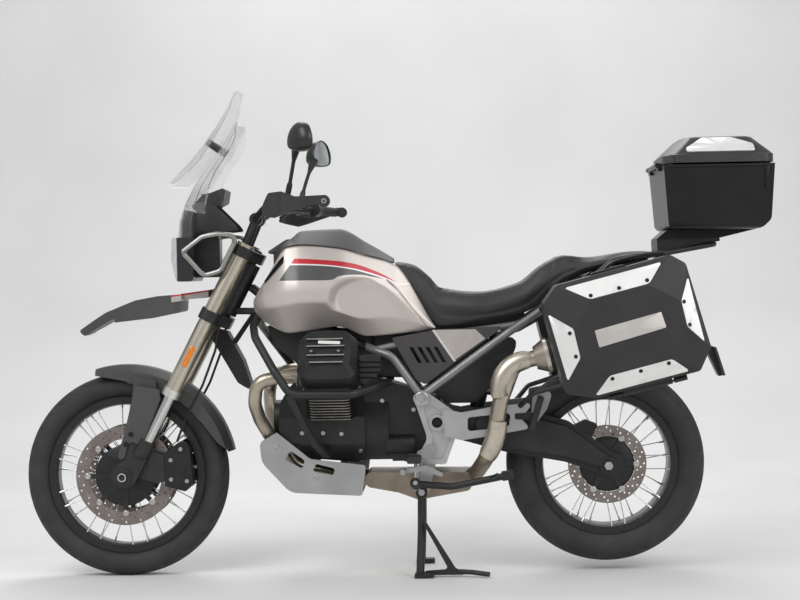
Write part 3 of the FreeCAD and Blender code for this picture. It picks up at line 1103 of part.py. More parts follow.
TOP_HALF = size("top_case_half_width")
TOP_SPLIT = size("top_case_split_z")
TOP_Z = size("top_case_top_z")
LID_Z = TOP_SPLIT + size("lid_gap")
tub_side = [(-857, TOP_SPLIT), (-872, 1092, 20), (-1164, 1088, 30), (-1192, 1116, 30),
            (-1203, TOP_SPLIT)]
tub_front = [(-TOP_HALF, TOP_SPLIT), (-TOP_HALF + 14, 1088, 30), (TOP_HALF - 14, 1088, 30),
             (TOP_HALF, TOP_SPLIT)]
tub_outside = common("tub_outside", [
    slab("tub_side", tub_side, -TOP_HALF, TOP_HALF),
    slab("tub_front", tub_front, -1210, -850, "YZ_Plane")])
tub_inside = common("tub_inside", [
    slab("tub_side_inside", [(-857 - WALL, TOP_SPLIT + 5), (-872 - WALL, 1092 + WALL, 18),
                             (-1162, 1088 + WALL, 28), (-1188, 1118, 28),
                             (-1203 + WALL, TOP_SPLIT + 5)], -TOP_HALF, TOP_HALF),
    slab("tub_front_inside", [(-TOP_HALF + WALL, TOP_SPLIT + 5), (-TOP_HALF + 14 + WALL, 1092, 28),
                              (TOP_HALF - 14 - WALL, 1092, 28), (TOP_HALF - WALL, TOP_SPLIT + 5)],
         -1210, -850, "YZ_Plane")])
tub_foot = slab("tub_foot", [(-846, 1062), (-878, 1089), (-1164, 1089), (-1046, 1062)], -92, 92)
TOP_HINGE = (-846, (TOP_SPLIT + LID_Z) / 2)
top_pin = cross_rod("top_pin", TOP_HINGE[0], TOP_HINGE[1], -140, 140, 3.5)
tub_knuckles = [cross_rod("tub_knuckle_%d" % i, TOP_HINGE[0], TOP_HINGE[1], low, high, 8)
                for i, (low, high) in enumerate([(-140, -96), (96, 140)], start=1)]
tub_webs = [box("tub_web_%d" % i, (-861, low, TOP_SPLIT - 14), (-847, high, TOP_SPLIT - 1))
            for i, (low, high) in enumerate([(-140, -96), (96, 140)], start=1)]
node("top_case_tub", fuse("top_case_tub", [cut("tub_hollow", tub_outside, [tub_inside]), tub_foot,
                                           top_pin] + tub_knuckles + tub_webs))
LID_SIDE = [(-857, LID_Z), (-854, LID_Z + 14, 6), (-926, TOP_Z - 38, 20), (-982, TOP_Z - 7, 40),
            (-1066, TOP_Z - 2, 60), (-1180, TOP_Z - 26, 20), (-1204, 1322, 14), (-1203, LID_Z)]
top_lid_outside = common("top_lid_outside", [
    slab("top_lid_side", LID_SIDE, -TOP_HALF, TOP_HALF),
    slab("top_lid_front", [(-TOP_HALF, LID_Z), (-TOP_HALF, 1330, 20), (-TOP_HALF + 50, TOP_Z, 40),
                           (TOP_HALF - 50, TOP_Z, 40), (TOP_HALF, 1330, 20), (TOP_HALF, LID_Z)],
         -1210, -850, "YZ_Plane")])
top_lid_inside = common("top_lid_inside", [
    slab("top_lid_side_inside", [
        (-857 - WALL, LID_Z - 5), (-862, LID_Z + 12, 6), (-930, TOP_Z - 42, 18),
        (-984, TOP_Z - 7 - WALL, 38), (-1064, TOP_Z - 2 - WALL, 58), (-1176, TOP_Z - 31, 18),
        (-1199, 1320, 12), (-1199, LID_Z - 5)], -TOP_HALF, TOP_HALF),
    slab("top_lid_front_inside", [
        (-TOP_HALF + WALL, LID_Z - 5), (-TOP_HALF + WALL, 1327, 18), (-TOP_HALF + 52, TOP_Z - WALL, 38),
        (TOP_HALF - 52, TOP_Z - WALL, 38), (TOP_HALF - WALL, 1327, 18),
        (TOP_HALF - WALL, LID_Z - 5)], -1210, -850, "YZ_Plane")])
lid_top_knuckle = cross_rod("lid_top_knuckle", TOP_HINGE[0], TOP_HINGE[1], -90, 90, 8)
lid_top_web = box("lid_top_web", (-861, -90, LID_Z), (-847, 90, LID_Z + 8))
top_bore = cross_rod("top_bore", TOP_HINGE[0], TOP_HINGE[1], -100, 100, 3.8)
node("top_case_lid", cut("top_case_lid", fuse("top_lid_solid", [
    cut("top_lid_hollow", top_lid_outside, [top_lid_inside]), lid_top_knuckle, lid_top_web]),
    [top_bore]))

# ---------------------------------------------------------------------------- stands
stand_leg = tube("stand_leg", [(CX, CY, CZ), (CX + 2, CY + 10, 140), (CX + 8, CY + 34, 14)], 60,
                 "dims.stand_leg_radius")
stand_eye = cross_rod("stand_eye", CX, CZ, CY - 12.5, CY + 12.5, 19)
stand_foot = slab("stand_foot", [(-56, 0, 3), (-56, 16, 5), (-118, 16, 5), (-118, 4, 3), (-96, 0)],
                  CY + 14, CY + 54)
stand_brace = slab("stand_brace", [
    (-84, 176, 4), (-96, 176, 4), (-186, 30, 8), (-212, 16, 6), (-212, 8, 4), (-90, 8, 4),
    (-90, 22, 4), (-164, 26, 8)], CY + 28, CY + 36)
stand_tang = tube("stand_tang", [(-196, CY + 32, 18), (-240, CY + 38, 16), (-292, CY + 62, 12)],
                  30, 8)
stand_bore = cross_rod("stand_bore", CX, CZ, CY - 30, CY + 30, "10 + dims.running_gap")
left_stand = fuse("left_stand", [stand_leg, stand_eye, stand_foot])
stand_bridge = cross_rod("stand_bridge", CX + 1, 138, -CY - 10, CY + 10, 11)
node("centre_stand", cut("centre_stand", fuse("stand_solid", [
    left_stand, mirrored("right_stand", left_stand), stand_brace, stand_tang, stand_bridge]),
    [stand_bore, mirrored("stand_bore_right", stand_bore)]))

side_leg = tube("side_leg", [
    SIDE_PIVOT, (-180, SIDE_PIVOT.y + 6, 290), (-344, SIDE_PIVOT.y + 16, 322)], 90, 11)
side_foot = slab("side_foot", [(-334, 336, 4), (-372, 342, 5), (-376, 316, 5), (-338, 308, 4)],
                 SIDE_PIVOT.y + 3, SIDE_PIVOT.y + 38)
side_eye = rod("side_eye", SIDE_PIVOT - SIDE_AXIS * 9, SIDE_PIVOT + SIDE_AXIS * 12, 17)
side_tang = rod("side_tang", Vector(-300, SIDE_PIVOT.y + 14, 314),
                Vector(-322, SIDE_PIVOT.y + 48, 330), 6)
side_bore = rod("side_bore", SIDE_PIVOT - SIDE_AXIS * 30, SIDE_PIVOT + SIDE_AXIS * 30, 7.2)
node("side_stand", cut("side_stand", fuse("side_stand_solid", [
    side_leg, side_foot, side_eye, side_tang]), [side_bore]))

# ---------------------------------------------------------------------------- export
doc.recompute()
for thing in doc.Objects:
    if "Invalid" in thing.State or "Error" in thing.State:
        raise RuntimeError("%s did not build: %s" % (thing.Name, thing.State))
for thing in nodes:
    if thing.Shape.isNull() or not thing.Shape.isValid() or not thing.Shape.Solids:
        raise RuntimeError("%s has no sound solid" % thing.Label)
os.makedirs("parts", exist_ok=True)
for thing in nodes:
    thing.Shape.exportStep(os.path.join("parts", thing.Label + ".step"))
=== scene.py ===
import math
import bmesh
import bpy
import numpy as np
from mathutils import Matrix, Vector
from mathutils.bvhtree import BVHTree


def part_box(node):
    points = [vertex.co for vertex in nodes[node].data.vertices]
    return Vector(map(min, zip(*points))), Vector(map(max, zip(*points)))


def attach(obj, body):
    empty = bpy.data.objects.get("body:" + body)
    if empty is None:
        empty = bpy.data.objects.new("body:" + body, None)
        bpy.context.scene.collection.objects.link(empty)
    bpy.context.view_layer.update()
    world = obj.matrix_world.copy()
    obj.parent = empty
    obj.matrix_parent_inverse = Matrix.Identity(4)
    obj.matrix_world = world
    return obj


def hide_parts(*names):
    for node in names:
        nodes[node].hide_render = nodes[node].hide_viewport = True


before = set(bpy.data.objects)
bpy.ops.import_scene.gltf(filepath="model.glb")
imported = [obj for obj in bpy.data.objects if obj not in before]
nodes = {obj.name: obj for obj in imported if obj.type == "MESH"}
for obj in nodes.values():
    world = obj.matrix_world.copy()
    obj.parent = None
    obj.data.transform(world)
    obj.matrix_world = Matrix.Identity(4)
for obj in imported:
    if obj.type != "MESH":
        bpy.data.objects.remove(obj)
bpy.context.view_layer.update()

# ------------------------------------------------------- the place the machine stands in
# A pale level floor that turns up into a pale wall, three wide soft lamps overhead and a
# weak even sky.  The eye stands six metres to the left, at the height of the seat.
eye = bpy.data.cameras.new("eye")
eye.lens = 83.07
eye.sensor_width = 36
eye_object = bpy.data.objects.new("eye", eye)
eye_object.location = (-0.184, 6.0, 0.936)
eye_object.rotation_euler = np.radians((89.469, 1.014, -178.448))
bpy.context.scene.collection.objects.link(eye_object)
bpy.context.scene.camera = eye_object
bpy.context.scene.view_settings.view_transform = "Standard"


def piece(name, points, faces, crease_deg=38):
    """A mesh object from corner points and four-cornered faces.  Corners that fall
    together are merged, which closes seams and poles; all faces are turned outward;
    edges sharper than the crease angle stay sharp."""
    mesh = bpy.data.meshes.new(name)
    mesh.from_pydata(points.tolist(), [], faces.tolist())
    merged = bmesh.new()
    merged.from_mesh(mesh)
    bmesh.ops.remove_doubles(merged, verts=merged.verts, dist=2e-6)
    bmesh.ops.recalc_face_normals(merged, faces=merged.faces)
    merged.to_mesh(mesh)
    merged.free()
    mesh.polygons.foreach_set("use_smooth", np.ones(len(mesh.polygons), bool))
    mesh.set_sharp_from_angle(angle=math.radians(crease_deg))
    made = bpy.data.objects.new(name, mesh)
    bpy.context.scene.collection.objects.link(made)
    return made


def grid_faces(rows, columns, around=False, along=False):
    """Faces between neighbours on a grid of rows and columns; around joins the last
    column to the first, and along joins the last row to the first."""
    row = np.arange(rows if along else rows - 1)[:, None]
    column = np.arange(columns if around else columns - 1)[None, :]
    row_on = (row + 1) % rows
    column_on = (column + 1) % columns
    return np.stack(np.broadcast_arrays(
        row * columns + column, row * columns + column_on,
        row_on * columns + column_on, row_on * columns + column), axis=-1).reshape(-1, 4)


def surface(name, points, around=False, along=False, crease_deg=38):
    """One grid of points, rows by columns, as a mesh object."""
    faces = grid_faces(points.shape[0], points.shape[1], around, along)
    return piece(name, points.reshape(-1, 3), faces, crease_deg)


def reckon(tree, rule, *terms, clamp=False):
    """One step of arithmetic inside a finish, on sockets or plain numbers."""
    step = tree.nodes.new("ShaderNodeMath")
    step.operation = rule
    step.use_clamp = clamp
    for place, term in zip(step.inputs, terms):
        if isinstance(term, bpy.types.NodeSocket):
            tree.links.new(term, place)
        else:
            place.default_value = term
    return step.outputs[0]


def noise_in(tree, scale, detail=4.0, stretch=(1, 1, 1)):
    """Noise in the object's own metres, drawn out along the axes given a small stretch."""
    place = tree.nodes.new("ShaderNodeTexCoord")
    drawn = tree.nodes.new("ShaderNodeMapping")
    drawn.inputs["Scale"].default_value = stretch
    noise = tree.nodes.new("ShaderNodeTexNoise")
    noise.inputs["Scale"].default_value = scale
    noise.inputs["Detail"].default_value = detail
    tree.links.new(place.outputs["Object"], drawn.inputs["Vector"])
    tree.links.new(drawn.outputs["Vector"], noise.inputs["Vector"])
    return noise.outputs["Fac"]


def between_shades(tree, share, low, high):
    """A colour that goes from one shade to another as the share goes from 0.3 to 0.7."""
    ramp = tree.nodes.new("ShaderNodeValToRGB")
    for element, position, shade in zip(ramp.color_ramp.elements, (0.3, 0.7), (low, high)):
        element.position = position
        element.color = (*shade, 1)
    tree.links.new(share, ramp.inputs["Fac"])
    return ramp.outputs["Color"]


def finish(name, low, high, roughness, metallic=0.0, grain=500, depth=0.0001, drift=7,
           stretch=(1, 1, 1), uneven=0.08, **sockets):
    """A finish whose colour drifts between two shades, with a fine grain in its height
    and its gloss.  Even values go straight to the shader's own sockets."""
    material = bpy.data.materials.new(name)
    material.use_nodes = True
    tree = material.node_tree
    shader = tree.nodes["Principled BSDF"]
    shader.inputs["Metallic"].default_value = metallic
    for socket, value in sockets.items():
        shader.inputs[socket.replace("_", " ")].default_value = value
    tree.links.new(between_shades(tree, noise_in(tree, drift), low, high),
                   shader.inputs["Base Color"])
    fine = noise_in(tree, grain, 6.0, stretch)
    bump = tree.nodes.new("ShaderNodeBump")
    bump.inputs["Strength"].default_value = 0.7
    bump.inputs["Distance"].default_value = depth
    tree.links.new(fine, bump.inputs["Height"])
    tree.links.new(bump.outputs["Normal"], shader.inputs["Normal"])
    level = tree.nodes.new("ShaderNodeMapRange")
    level.inputs["From Min"].default_value = 0.3
    level.inputs["From Max"].default_value = 0.7
    level.inputs["To Min"].default_value = max(roughness - uneven, 0.02)
    level.inputs["To Max"].default_value = min(roughness + uneven, 1.0)
    tree.links.new(fine, level.inputs["Value"])
    tree.links.new(level.outputs["Result"], shader.inputs["Roughness"])
    return material


def dress(material, *names):
    """Give a finish to pieces of the frame, by node name, or to new pieces."""
    for name in names:
        dressed = nodes[name] if isinstance(name, str) else name
        dressed.data.materials.clear()
        dressed.data.materials.append(material)


def fit(material, body, slot, *parts, instead_of=None):
    """Give new pieces their finish, the body they move with and, where they stand in for a
    node of the frame, hide that node.  The slot, a name for the finish, is not used."""
    dress(material, *parts)
    for part in parts:
        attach(part, body)
        if instead_of:
            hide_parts(instead_of)


# the floor's run, (towards the eye, up), carried from one side to the other
floor_run = np.array([(9.0, 0.0), (-2.2, 0.0), (-2.8, 0.06), (-3.3, 0.3), (-3.6, 0.8),
                      (-3.7, 1.6), (-3.7, 7.0)])
floor_span = np.array([-9.0, 9.0])
floor_points = np.stack(np.broadcast_arrays(
    floor_span[None, :], floor_run[:, :1], floor_run[:, 1:]), axis=-1)
studio_floor = surface("studio_floor", floor_points, crease_deg=80)
if studio_floor.data.polygons[0].normal.z < 0:
    studio_floor.data.flip_normals()
dress(finish("pale_floor", (0.66, 0.655, 0.645), (0.72, 0.715, 0.705), 0.85, grain=60,
             depth=0.0004, drift=1.2), studio_floor)

sky = bpy.data.worlds.new("sky")
sky.use_nodes = True
even_sky = sky.node_tree.nodes["Background"].inputs
even_sky["Color"].default_value = (0.86, 0.89, 0.93, 1)
even_sky["Strength"].default_value = 0.55
bpy.context.scene.world = sky
for lamp_name, lamp_place, lamp_aim, lamp_size, lamp_power in (
        ("key_lamp", (2.6, 3.4, 4.2), (0.1, 0.0, 0.6), 3.0, 150),
        ("fill_lamp", (-3.2, 3.0, 3.0), (-0.3, 0.0, 0.6), 3.0, 90),
        ("back_lamp", (0.0, -2.6, 4.2), (0.0, 0.0, 0.8), 3.0, 110)):
    lamp = bpy.data.lights.new(lamp_name, "AREA")
    lamp.energy = lamp_power
    lamp.size = lamp_size
    lamp_object = bpy.data.objects.new(lamp_name, lamp)
    lamp_object.location = lamp_place
    toward = np.array(lamp_aim) - np.array(lamp_place)
    lamp_object.rotation_euler = (math.atan2(math.hypot(toward[0], toward[1]), -toward[2]), 0,
                                  math.atan2(toward[1], toward[0]) - math.pi / 2)
    bpy.context.scene.collection.objects.link(lamp_object)

# ------------------------------------------------------------------------------- tyres
# Two tubeless tyres of black rubber, cured in a mould that leaves slanting tread grooves
# with a plain band in the middle and low rings on each side wall, over a beaded rim.
SIDE_WALL = 0.009
TREAD_DEPTH = 0.0048
BEAD_INSET, BEAD_LIFT, LIP_LIFT = 0.0042, 0.0022, 0.014
COLUMNS_A_PITCH = 20
# shares of one pitch round the wheel, and shares of the half width across it
GROOVE_HALF, GROOVE_EDGE, SIPE_HALF, SIPE_EDGE = 0.085, 0.03, 0.035, 0.02
BAND_HALF, BAND_EDGE, GROOVE_END, END_EDGE = 0.10, 0.05, 0.985, 0.12
SIPE_MIDDLE, SIPE_REACH, SIPE_DEPTH = 0.42, 0.2, 0.6
RING_PLACE, RING_HALF = 0.30, 0.03
WALL_RING_HEIGHT, WALL_RINGS = 0.0005, 900


def arc(start, through, end, count):
    """Points on the circle through three points, evenly spaced from start to end: the
    centre solves the two equations of equal distance, and the angle runs linearly."""
    start, through, end = (np.array(point, float) for point in (start, through, end))
    sides = np.array([through - start, end - start]) * 2
    reach = np.array([through @ through - start @ start, end @ end - start @ start])
    centre = np.linalg.solve(sides, reach)
    turns = [math.atan2(*(point - centre)[::-1]) for point in (start, through, end)]
    turns = np.unwrap(turns)
    angle = np.linspace(turns[0], turns[2], count)
    return centre + np.hypot(*(start - centre)) * np.stack([np.cos(angle), np.sin(angle)], 1)


def tyre(name, node, rim_radius, rim_width, pitches, slant):
    """The carcass and its tread.  The section, (across, out from the axle), runs over one
    side wall, the tread and the other side wall and back inside.  Carried round the
    axle, a point drops inwards by the tread depth where pitches times its turn, less the
    slant times its place across, lies within a groove's share of half a number; finer
    sipes lie between the grooves, an odd count of pitches gets a ring on each side of
    the middle, and a sine of the radius lifts low rings on the side walls."""
    low, high = (np.array(corner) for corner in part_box(node))
    centre = (low + high) / 2
    radius = (high[2] - low[2]) / 2
    half = (high[1] - low[1]) / 2
    seat = rim_width / 2 - BEAD_INSET
    bead, lip = rim_radius + BEAD_LIFT, rim_radius + LIP_LIFT
    shoulder = radius - 0.38 * half
    belly = (shoulder + lip) / 2
    side, edge = half - 0.0012, half * 0.9
    left_wall = arc((-seat, lip), (-side, belly), (-edge, shoulder), 19)
    tread = arc((-edge, shoulder), (0, radius), (edge, shoulder), 57)
    inner_tread = arc((edge - SIDE_WALL, shoulder - 0.005), (0, radius - SIDE_WALL),
                      (SIDE_WALL - edge, shoulder - 0.005), 13)
    inner_wall = arc((seat - SIDE_WALL, lip), (side - SIDE_WALL, belly),
                     (edge - SIDE_WALL, shoulder - 0.005), 7)
    mirror = np.array([-1, 1])
    section = np.concatenate([
        [(-seat, bead)], left_wall[:-1], tread, (left_wall * mirror)[-2::-1], [(seat, bead)],
        [(seat - SIDE_WALL, bead)], inner_wall[:-1], inner_tread,
        (inner_wall * mirror)[-2::-1], [(SIDE_WALL - seat, bead)]])
    start = len(left_wall)
    across = np.zeros((len(section), 1))
    across[start:start + len(tread), 0] = np.linspace(-1, 1, len(tread))
    on_tread = np.zeros((len(section), 1))
    on_tread[start:start + len(tread)] = 1
    from_middle = np.abs(across)
    columns = pitches * COLUMNS_A_PITCH
    turn = np.linspace(0, 2 * math.pi, columns, endpoint=False)
    place = (pitches * turn / (2 * math.pi) - slant * from_middle + 0.5 * (across > 0)) % 1
    groove = np.clip((GROOVE_HALF - np.abs(place - 0.5)) / GROOVE_EDGE, 0, 1)
    groove = groove * np.clip((from_middle - BAND_HALF) / BAND_EDGE, 0, 1)
    groove = groove * np.clip((GROOVE_END - from_middle) / END_EDGE, 0, 1)
    sipe = np.clip((SIPE_HALF - np.abs((place + 0.5) % 1 - 0.5)) / SIPE_EDGE, 0, 1)
    sipe = sipe * (np.abs(from_middle - SIPE_MIDDLE) < SIPE_REACH) * SIPE_DEPTH
    ring = np.clip(1 - np.abs(from_middle - RING_PLACE) / RING_HALF, 0, 1) * (pitches % 2)
    out = section[:, 1:] - TREAD_DEPTH * on_tread * np.maximum(np.maximum(groove, sipe), ring)
    rings = np.where((on_tread[:, 0] == 0) & (np.abs(section[:, 0]) > seat),
                     WALL_RING_HEIGHT * np.sin(section[:, 1] * WALL_RINGS), 0)
    width = section[:, 0] + np.sign(section[:, 0]) * (rings - WALL_RING_HEIGHT)
    points = np.stack([centre[0] + out * np.cos(turn), np.broadcast_to(
        centre[1] + width[:, None], out.shape[:1] + (columns,)),
        centre[2] + out * np.sin(turn)], axis=-1)
    return surface(name, points, around=True, along=True, crease_deg=30)


rubber = finish("tyre_rubber", (0.017, 0.0165, 0.016), (0.034, 0.033, 0.031), 0.72, grain=700,
                depth=0.00012, drift=11, uneven=0.1)
for tyre_name, tyre_node, tyre_rim, tyre_width, pitches, slant, wheel in (
        ("front_tyre_tread", "front_tyre", 0.241, 0.076, 38, 1.3, "front_wheel"),
        ("rear_tyre_tread", "rear_tyre", 0.216, 0.122, 34, 1.6, "rear_wheel")):
    rolled = tyre(tyre_name, tyre_node, tyre_rim, tyre_width, pitches, slant)
    fit(rubber, wheel, "tyre_rubber", rolled, instead_of=tyre_node)

# -------------------------------------------------------------------- rims and spokes
# Aluminium rims anodised black, each on thirty-six crossed steel spokes with bright
# nipples at the rim and a black forged hub in the middle.
SPOKES = 36
HUB_EDGE = 0.0545
FLANGE_HOLES = 0.042
SPOKE_LEAN = math.radians(24)


def place_on(tree):
    """Where a point of the surface lies: metres forward, to the left and up."""
    place = tree.nodes.new("ShaderNodeTexCoord")
    parts = tree.nodes.new("ShaderNodeSeparateXYZ")
    tree.links.new(place.outputs["Object"], parts.inputs["Vector"])
    return parts.outputs


def past(tree, value, limit, blur=0.0006):
    """0 below the limit and 1 above it, over a narrow blur."""
    return reckon(tree, "MULTIPLY_ADD", value, 1 / blur, 0.5 - limit / blur, clamp=True)


def apart_from(tree, mask):
    """1 where a mask is 0 and 0 where it is 1."""
    return reckon(tree, "SUBTRACT", 1.0, mask)


def within(tree, value, low, high, blur=0.0006):
    """1 between two limits and 0 outside them."""
    return reckon(tree, "MULTIPLY", past(tree, value, low, blur),
                  apart_from(tree, past(tree, value, high, blur)))


def from_centre(tree, centre):
    """The distance from an axle that lies across the machine."""
    x, _, z = place_on(tree)
    x = reckon(tree, "SUBTRACT", x, centre[0])
    z = reckon(tree, "SUBTRACT", z, centre[2])
    return reckon(tree, "SQRT", reckon(tree, "MULTIPLY_ADD", x, x, reckon(tree, "MULTIPLY", z, z)))


def patch(material, mask, low, high, roughness, metallic=0.0, drift=30):
    """Where the mask is 1, the finish takes other shades, gloss and share of metal."""
    tree = material.node_tree
    shader = tree.nodes["Principled BSDF"]
    colour = tree.nodes.new("ShaderNodeMix")
    colour.data_type = "RGBA"
    under = shader.inputs["Base Color"].links[0].from_socket
    over = between_shades(tree, noise_in(tree, drift), low, high)
    for source, target in ((mask, 0), (under, 6), (over, 7)):
        tree.links.new(source, colour.inputs[target])
    tree.links.new(colour.outputs[2], shader.inputs["Base Color"])
    for socket, value in (("Roughness", roughness), ("Metallic", metallic)):
        level = tree.nodes.new("ShaderNodeMix")
        tree.links.new(mask, level.inputs[0])
        if shader.inputs[socket].links:
            tree.links.new(shader.inputs[socket].links[0].from_socket, level.inputs[2])
        else:
            level.inputs[2].default_value = shader.inputs[socket].default_value
        level.inputs[3].default_value = value
        tree.links.new(level.outputs[0], shader.inputs[socket])


def middle_of(node):
    """The middle of a node's box: half the sum of its two corners."""
    low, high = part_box(node)
    return (np.array(low) + np.array(high)) / 2


def stamped(name, outline, sides, places, facings, crease_deg=38):
    """Copies of one turned shape.  The outline, (radius, height), is turned about its
    height in a few sides, laid along each facing and set at each place."""
    outline = np.array(outline, float)
    places = np.array(places, float).reshape(-1, 3)
    facings = np.broadcast_to(np.array(facings, float), places.shape)
    facings = facings / np.linalg.norm(facings, axis=1, keepdims=True)
    helper = np.where(np.abs(facings[:, 2:]) < 0.8, (0.0, 0.0, 1.0), (1.0, 0.0, 0.0))
    across = np.cross(helper, facings)
    across /= np.linalg.norm(across, axis=1, keepdims=True)
    up = np.cross(facings, across)
    angle = np.linspace(0, 2 * math.pi, sides, endpoint=False)
    ring = (across[:, None, :] * np.cos(angle)[None, :, None]
            + up[:, None, :] * np.sin(angle)[None, :, None])
    points = (places[:, None, None, :] + ring[:, None, :, :] * outline[None, :, :1, None]
              + facings[:, None, None, :] * outline[None, :, 1:, None])
    faces = grid_faces(len(outline), sides, around=True)
    step = len(outline) * sides
    faces = (faces[None, :, :] + step * np.arange(len(places))[:, None, None]).reshape(-1, 4)
    return piece(name, points.reshape(-1, 3), faces, crease_deg)


front_axle = middle_of("front_rim")
rear_axle = middle_of("rear_rim")
nipple_outline = [(0, 0), (0.0031, 0), (0.0031, 0.010), (0.0023, 0.015), (0, 0.015)]
for wheel, axle, rim_inside, flange, reach in (
        ("front", front_axle, 0.226, 0.031, 0.033), ("rear", rear_axle, 0.201, 0.046, 0.056)):
    rim_black = finish(wheel + "_rim_black", (0.014, 0.014, 0.014), (0.022, 0.022, 0.021), 0.3,
                       0.3, grain=350, depth=0.00004)
    tree = rim_black.node_tree
    patch(rim_black, within(tree, from_centre(tree, axle), HUB_EDGE, rim_inside - 0.0006),
          (0.62, 0.61, 0.59), (0.78, 0.77, 0.75), 0.25, 0.9)
    dress(rim_black, wheel + "_rim")
    spoke = np.arange(SPOKES)
    side = np.where(spoke % 2 == 1, 1, -1)
    lead = SPOKE_LEAN * np.where((spoke // 2) % 2 == 1, 1, -1)
    turn = 2 * math.pi * spoke / SPOKES
    root = np.stack([FLANGE_HOLES * np.cos(turn), side * flange, FLANGE_HOLES * np.sin(turn)], 1)
    tip = np.stack([(rim_inside + 0.006) * np.cos(turn + lead), side * reach,
                    (rim_inside + 0.006) * np.sin(turn + lead)], 1)
    run = tip - root
    run /= np.linalg.norm(run, axis=1, keepdims=True)
    nipples = stamped(wheel + "_nipples", nipple_outline, 8, axle + tip - run * 0.004, -run)
    fit(finish(wheel + "_nipple_steel", (0.6, 0.6, 0.58), (0.75, 0.75, 0.73), 0.3, 0.9,
               drift=60), wheel + "_wheel", "disc_steel", nipples)

# ------------------------------------------------------------------------ brake discs
# Steel rings, drilled and ground, floating on black carriers by small steel bobbins, with
# a black stamped web between each carrier and its hub.  Pad wear leaves fine rings.
PAD_RINGS = 1400
WEB_HOLE, WEB_HALF = 0.034, 0.002
for wheel, node, axle, ring_inside, bobbins, bobbin_out, bobbin_y, web_out, web_y in (
        ("front_wheel", "front_discs", front_axle, 0.1178, 8, 0.1215, (0.0688, -0.0688),
         0.0980, (0.0645, -0.0645)),
        ("rear_wheel", "rear_disc", rear_axle, 0.0888, 6, 0.0925, (0.0928,), 0.0880, (0.0860,))):
    ground_steel = finish(node + "_ground_steel", (0.20, 0.170, 0.155), (0.28, 0.245, 0.225),
                          0.36, 0.85, drift=25)
    tree = ground_steel.node_tree
    shader = tree.nodes["Principled BSDF"]
    rings = tree.nodes.new("ShaderNodeTexNoise")
    rings.noise_dimensions = "1D"
    rings.inputs["Scale"].default_value = PAD_RINGS
    rings.inputs["Detail"].default_value = 3
    tree.links.new(from_centre(tree, axle), rings.inputs["W"])
    bump = tree.nodes.new("ShaderNodeBump")
    bump.inputs["Distance"].default_value = 0.00006
    tree.links.new(rings.outputs["Fac"], bump.inputs["Height"])
    tree.links.new(bump.outputs["Normal"], shader.inputs["Normal"])
    inside = apart_from(tree, past(tree, from_centre(tree, axle), ring_inside))
    patch(ground_steel, inside, (0.012, 0.012, 0.012), (0.02, 0.02, 0.02), 0.45, 0.2)
    dress(ground_steel, node)
    turn = np.arange(bobbins) * 2 * math.pi / bobbins
    places = np.concatenate([np.stack([
        axle[0] + bobbin_out * np.cos(turn), np.full(bobbins, y),
        axle[2] + bobbin_out * np.sin(turn)], 1) for y in bobbin_y])
    facing = np.stack([0 * places[:, 0], np.sign(places[:, 1]), 0 * places[:, 0]], 1)
    pins = stamped(node + "_bobbins", [
        (0, 0), (0.0095, 0), (0.0095, 0.0016), (0.0082, 0.0024), (0.0058, 0.0024),
        (0.0050, 0.0010), (0, 0.0010)], 16, places, facing)
    fit(finish(node + "_bobbin_steel", (0.45, 0.42, 0.39), (0.6, 0.57, 0.54), 0.35, 0.9,
               drift=80), wheel, "disc_steel", pins)
    webs = stamped(node + "_hub_webs", [
        (WEB_HOLE, -WEB_HALF), (web_out - 0.0015, -WEB_HALF), (web_out, -0.001),
        (web_out, 0.001), (web_out - 0.0015, WEB_HALF), (WEB_HOLE, WEB_HALF),
        (WEB_HOLE, -WEB_HALF)], 72,
        [(axle[0], y, axle[2]) for y in web_y], [(0.0, np.sign(y), 0.0) for y in web_y])
    fit(finish(node + "_web_black", (0.009, 0.009, 0.009), (0.015, 0.015, 0.015), 0.45, 0.2,
               drift=20), wheel, "rim_black", webs)

# -------------------------------------------------------------------------------- fork
# Upside-down fork: champagne anodised outer tubes with a bright collar at the lower end,
# chromed inner tubes, and black cast feet that hold the hollow axle and the calipers.
DOWN_FORK = np.array([0.4648, 0, -0.8854])
AHEAD = np.array([0.8854, 0, 0.4648])
STEERING_TOP = np.array([0.444, 0, 1.0367])
COLLAR_START = 0.503
FOOT_START = 0.687
OUT_LEFT, OUT_RIGHT = (0, 1, 0), (0, -1, 0)


def along_line(tree, start, direction):
    """How far a point of the surface lies along a direction from a start."""
    place = tree.nodes.new("ShaderNodeTexCoord")
    dot = tree.nodes.new("ShaderNodeVectorMath")
    dot.operation = "DOT_PRODUCT"
    dot.inputs[1].default_value = direction
    tree.links.new(place.outputs["Object"], dot.inputs[0])
    return reckon(tree, "SUBTRACT", dot.outputs["Value"], float(np.dot(start, direction)))


champagne_tube = finish("fork_champagne", (0.50, 0.45, 0.36), (0.58, 0.53, 0.44), 0.3, 0.9,
                        grain=300, depth=0.00003, stretch=(1, 1, 6))
tree = champagne_tube.node_tree
down = along_line(tree, STEERING_TOP, DOWN_FORK)
patch(champagne_tube, past(tree, down, COLLAR_START), (0.68, 0.66, 0.62), (0.78, 0.76, 0.72),
      0.28, 0.9)
dress(champagne_tube, "fork_tubes")
chrome_leg = finish("fork_chrome", (0.60, 0.59, 0.57), (0.68, 0.67, 0.65), 0.14, 1.0, grain=200,
                    depth=0.00002, stretch=(1, 1, 8))
tree = chrome_leg.node_tree
down = along_line(tree, STEERING_TOP, DOWN_FORK)
patch(chrome_leg, past(tree, down, FOOT_START), (0.016, 0.016, 0.016), (0.026, 0.026, 0.026),
      0.48, 0.2)
dress(chrome_leg, "fork_legs")

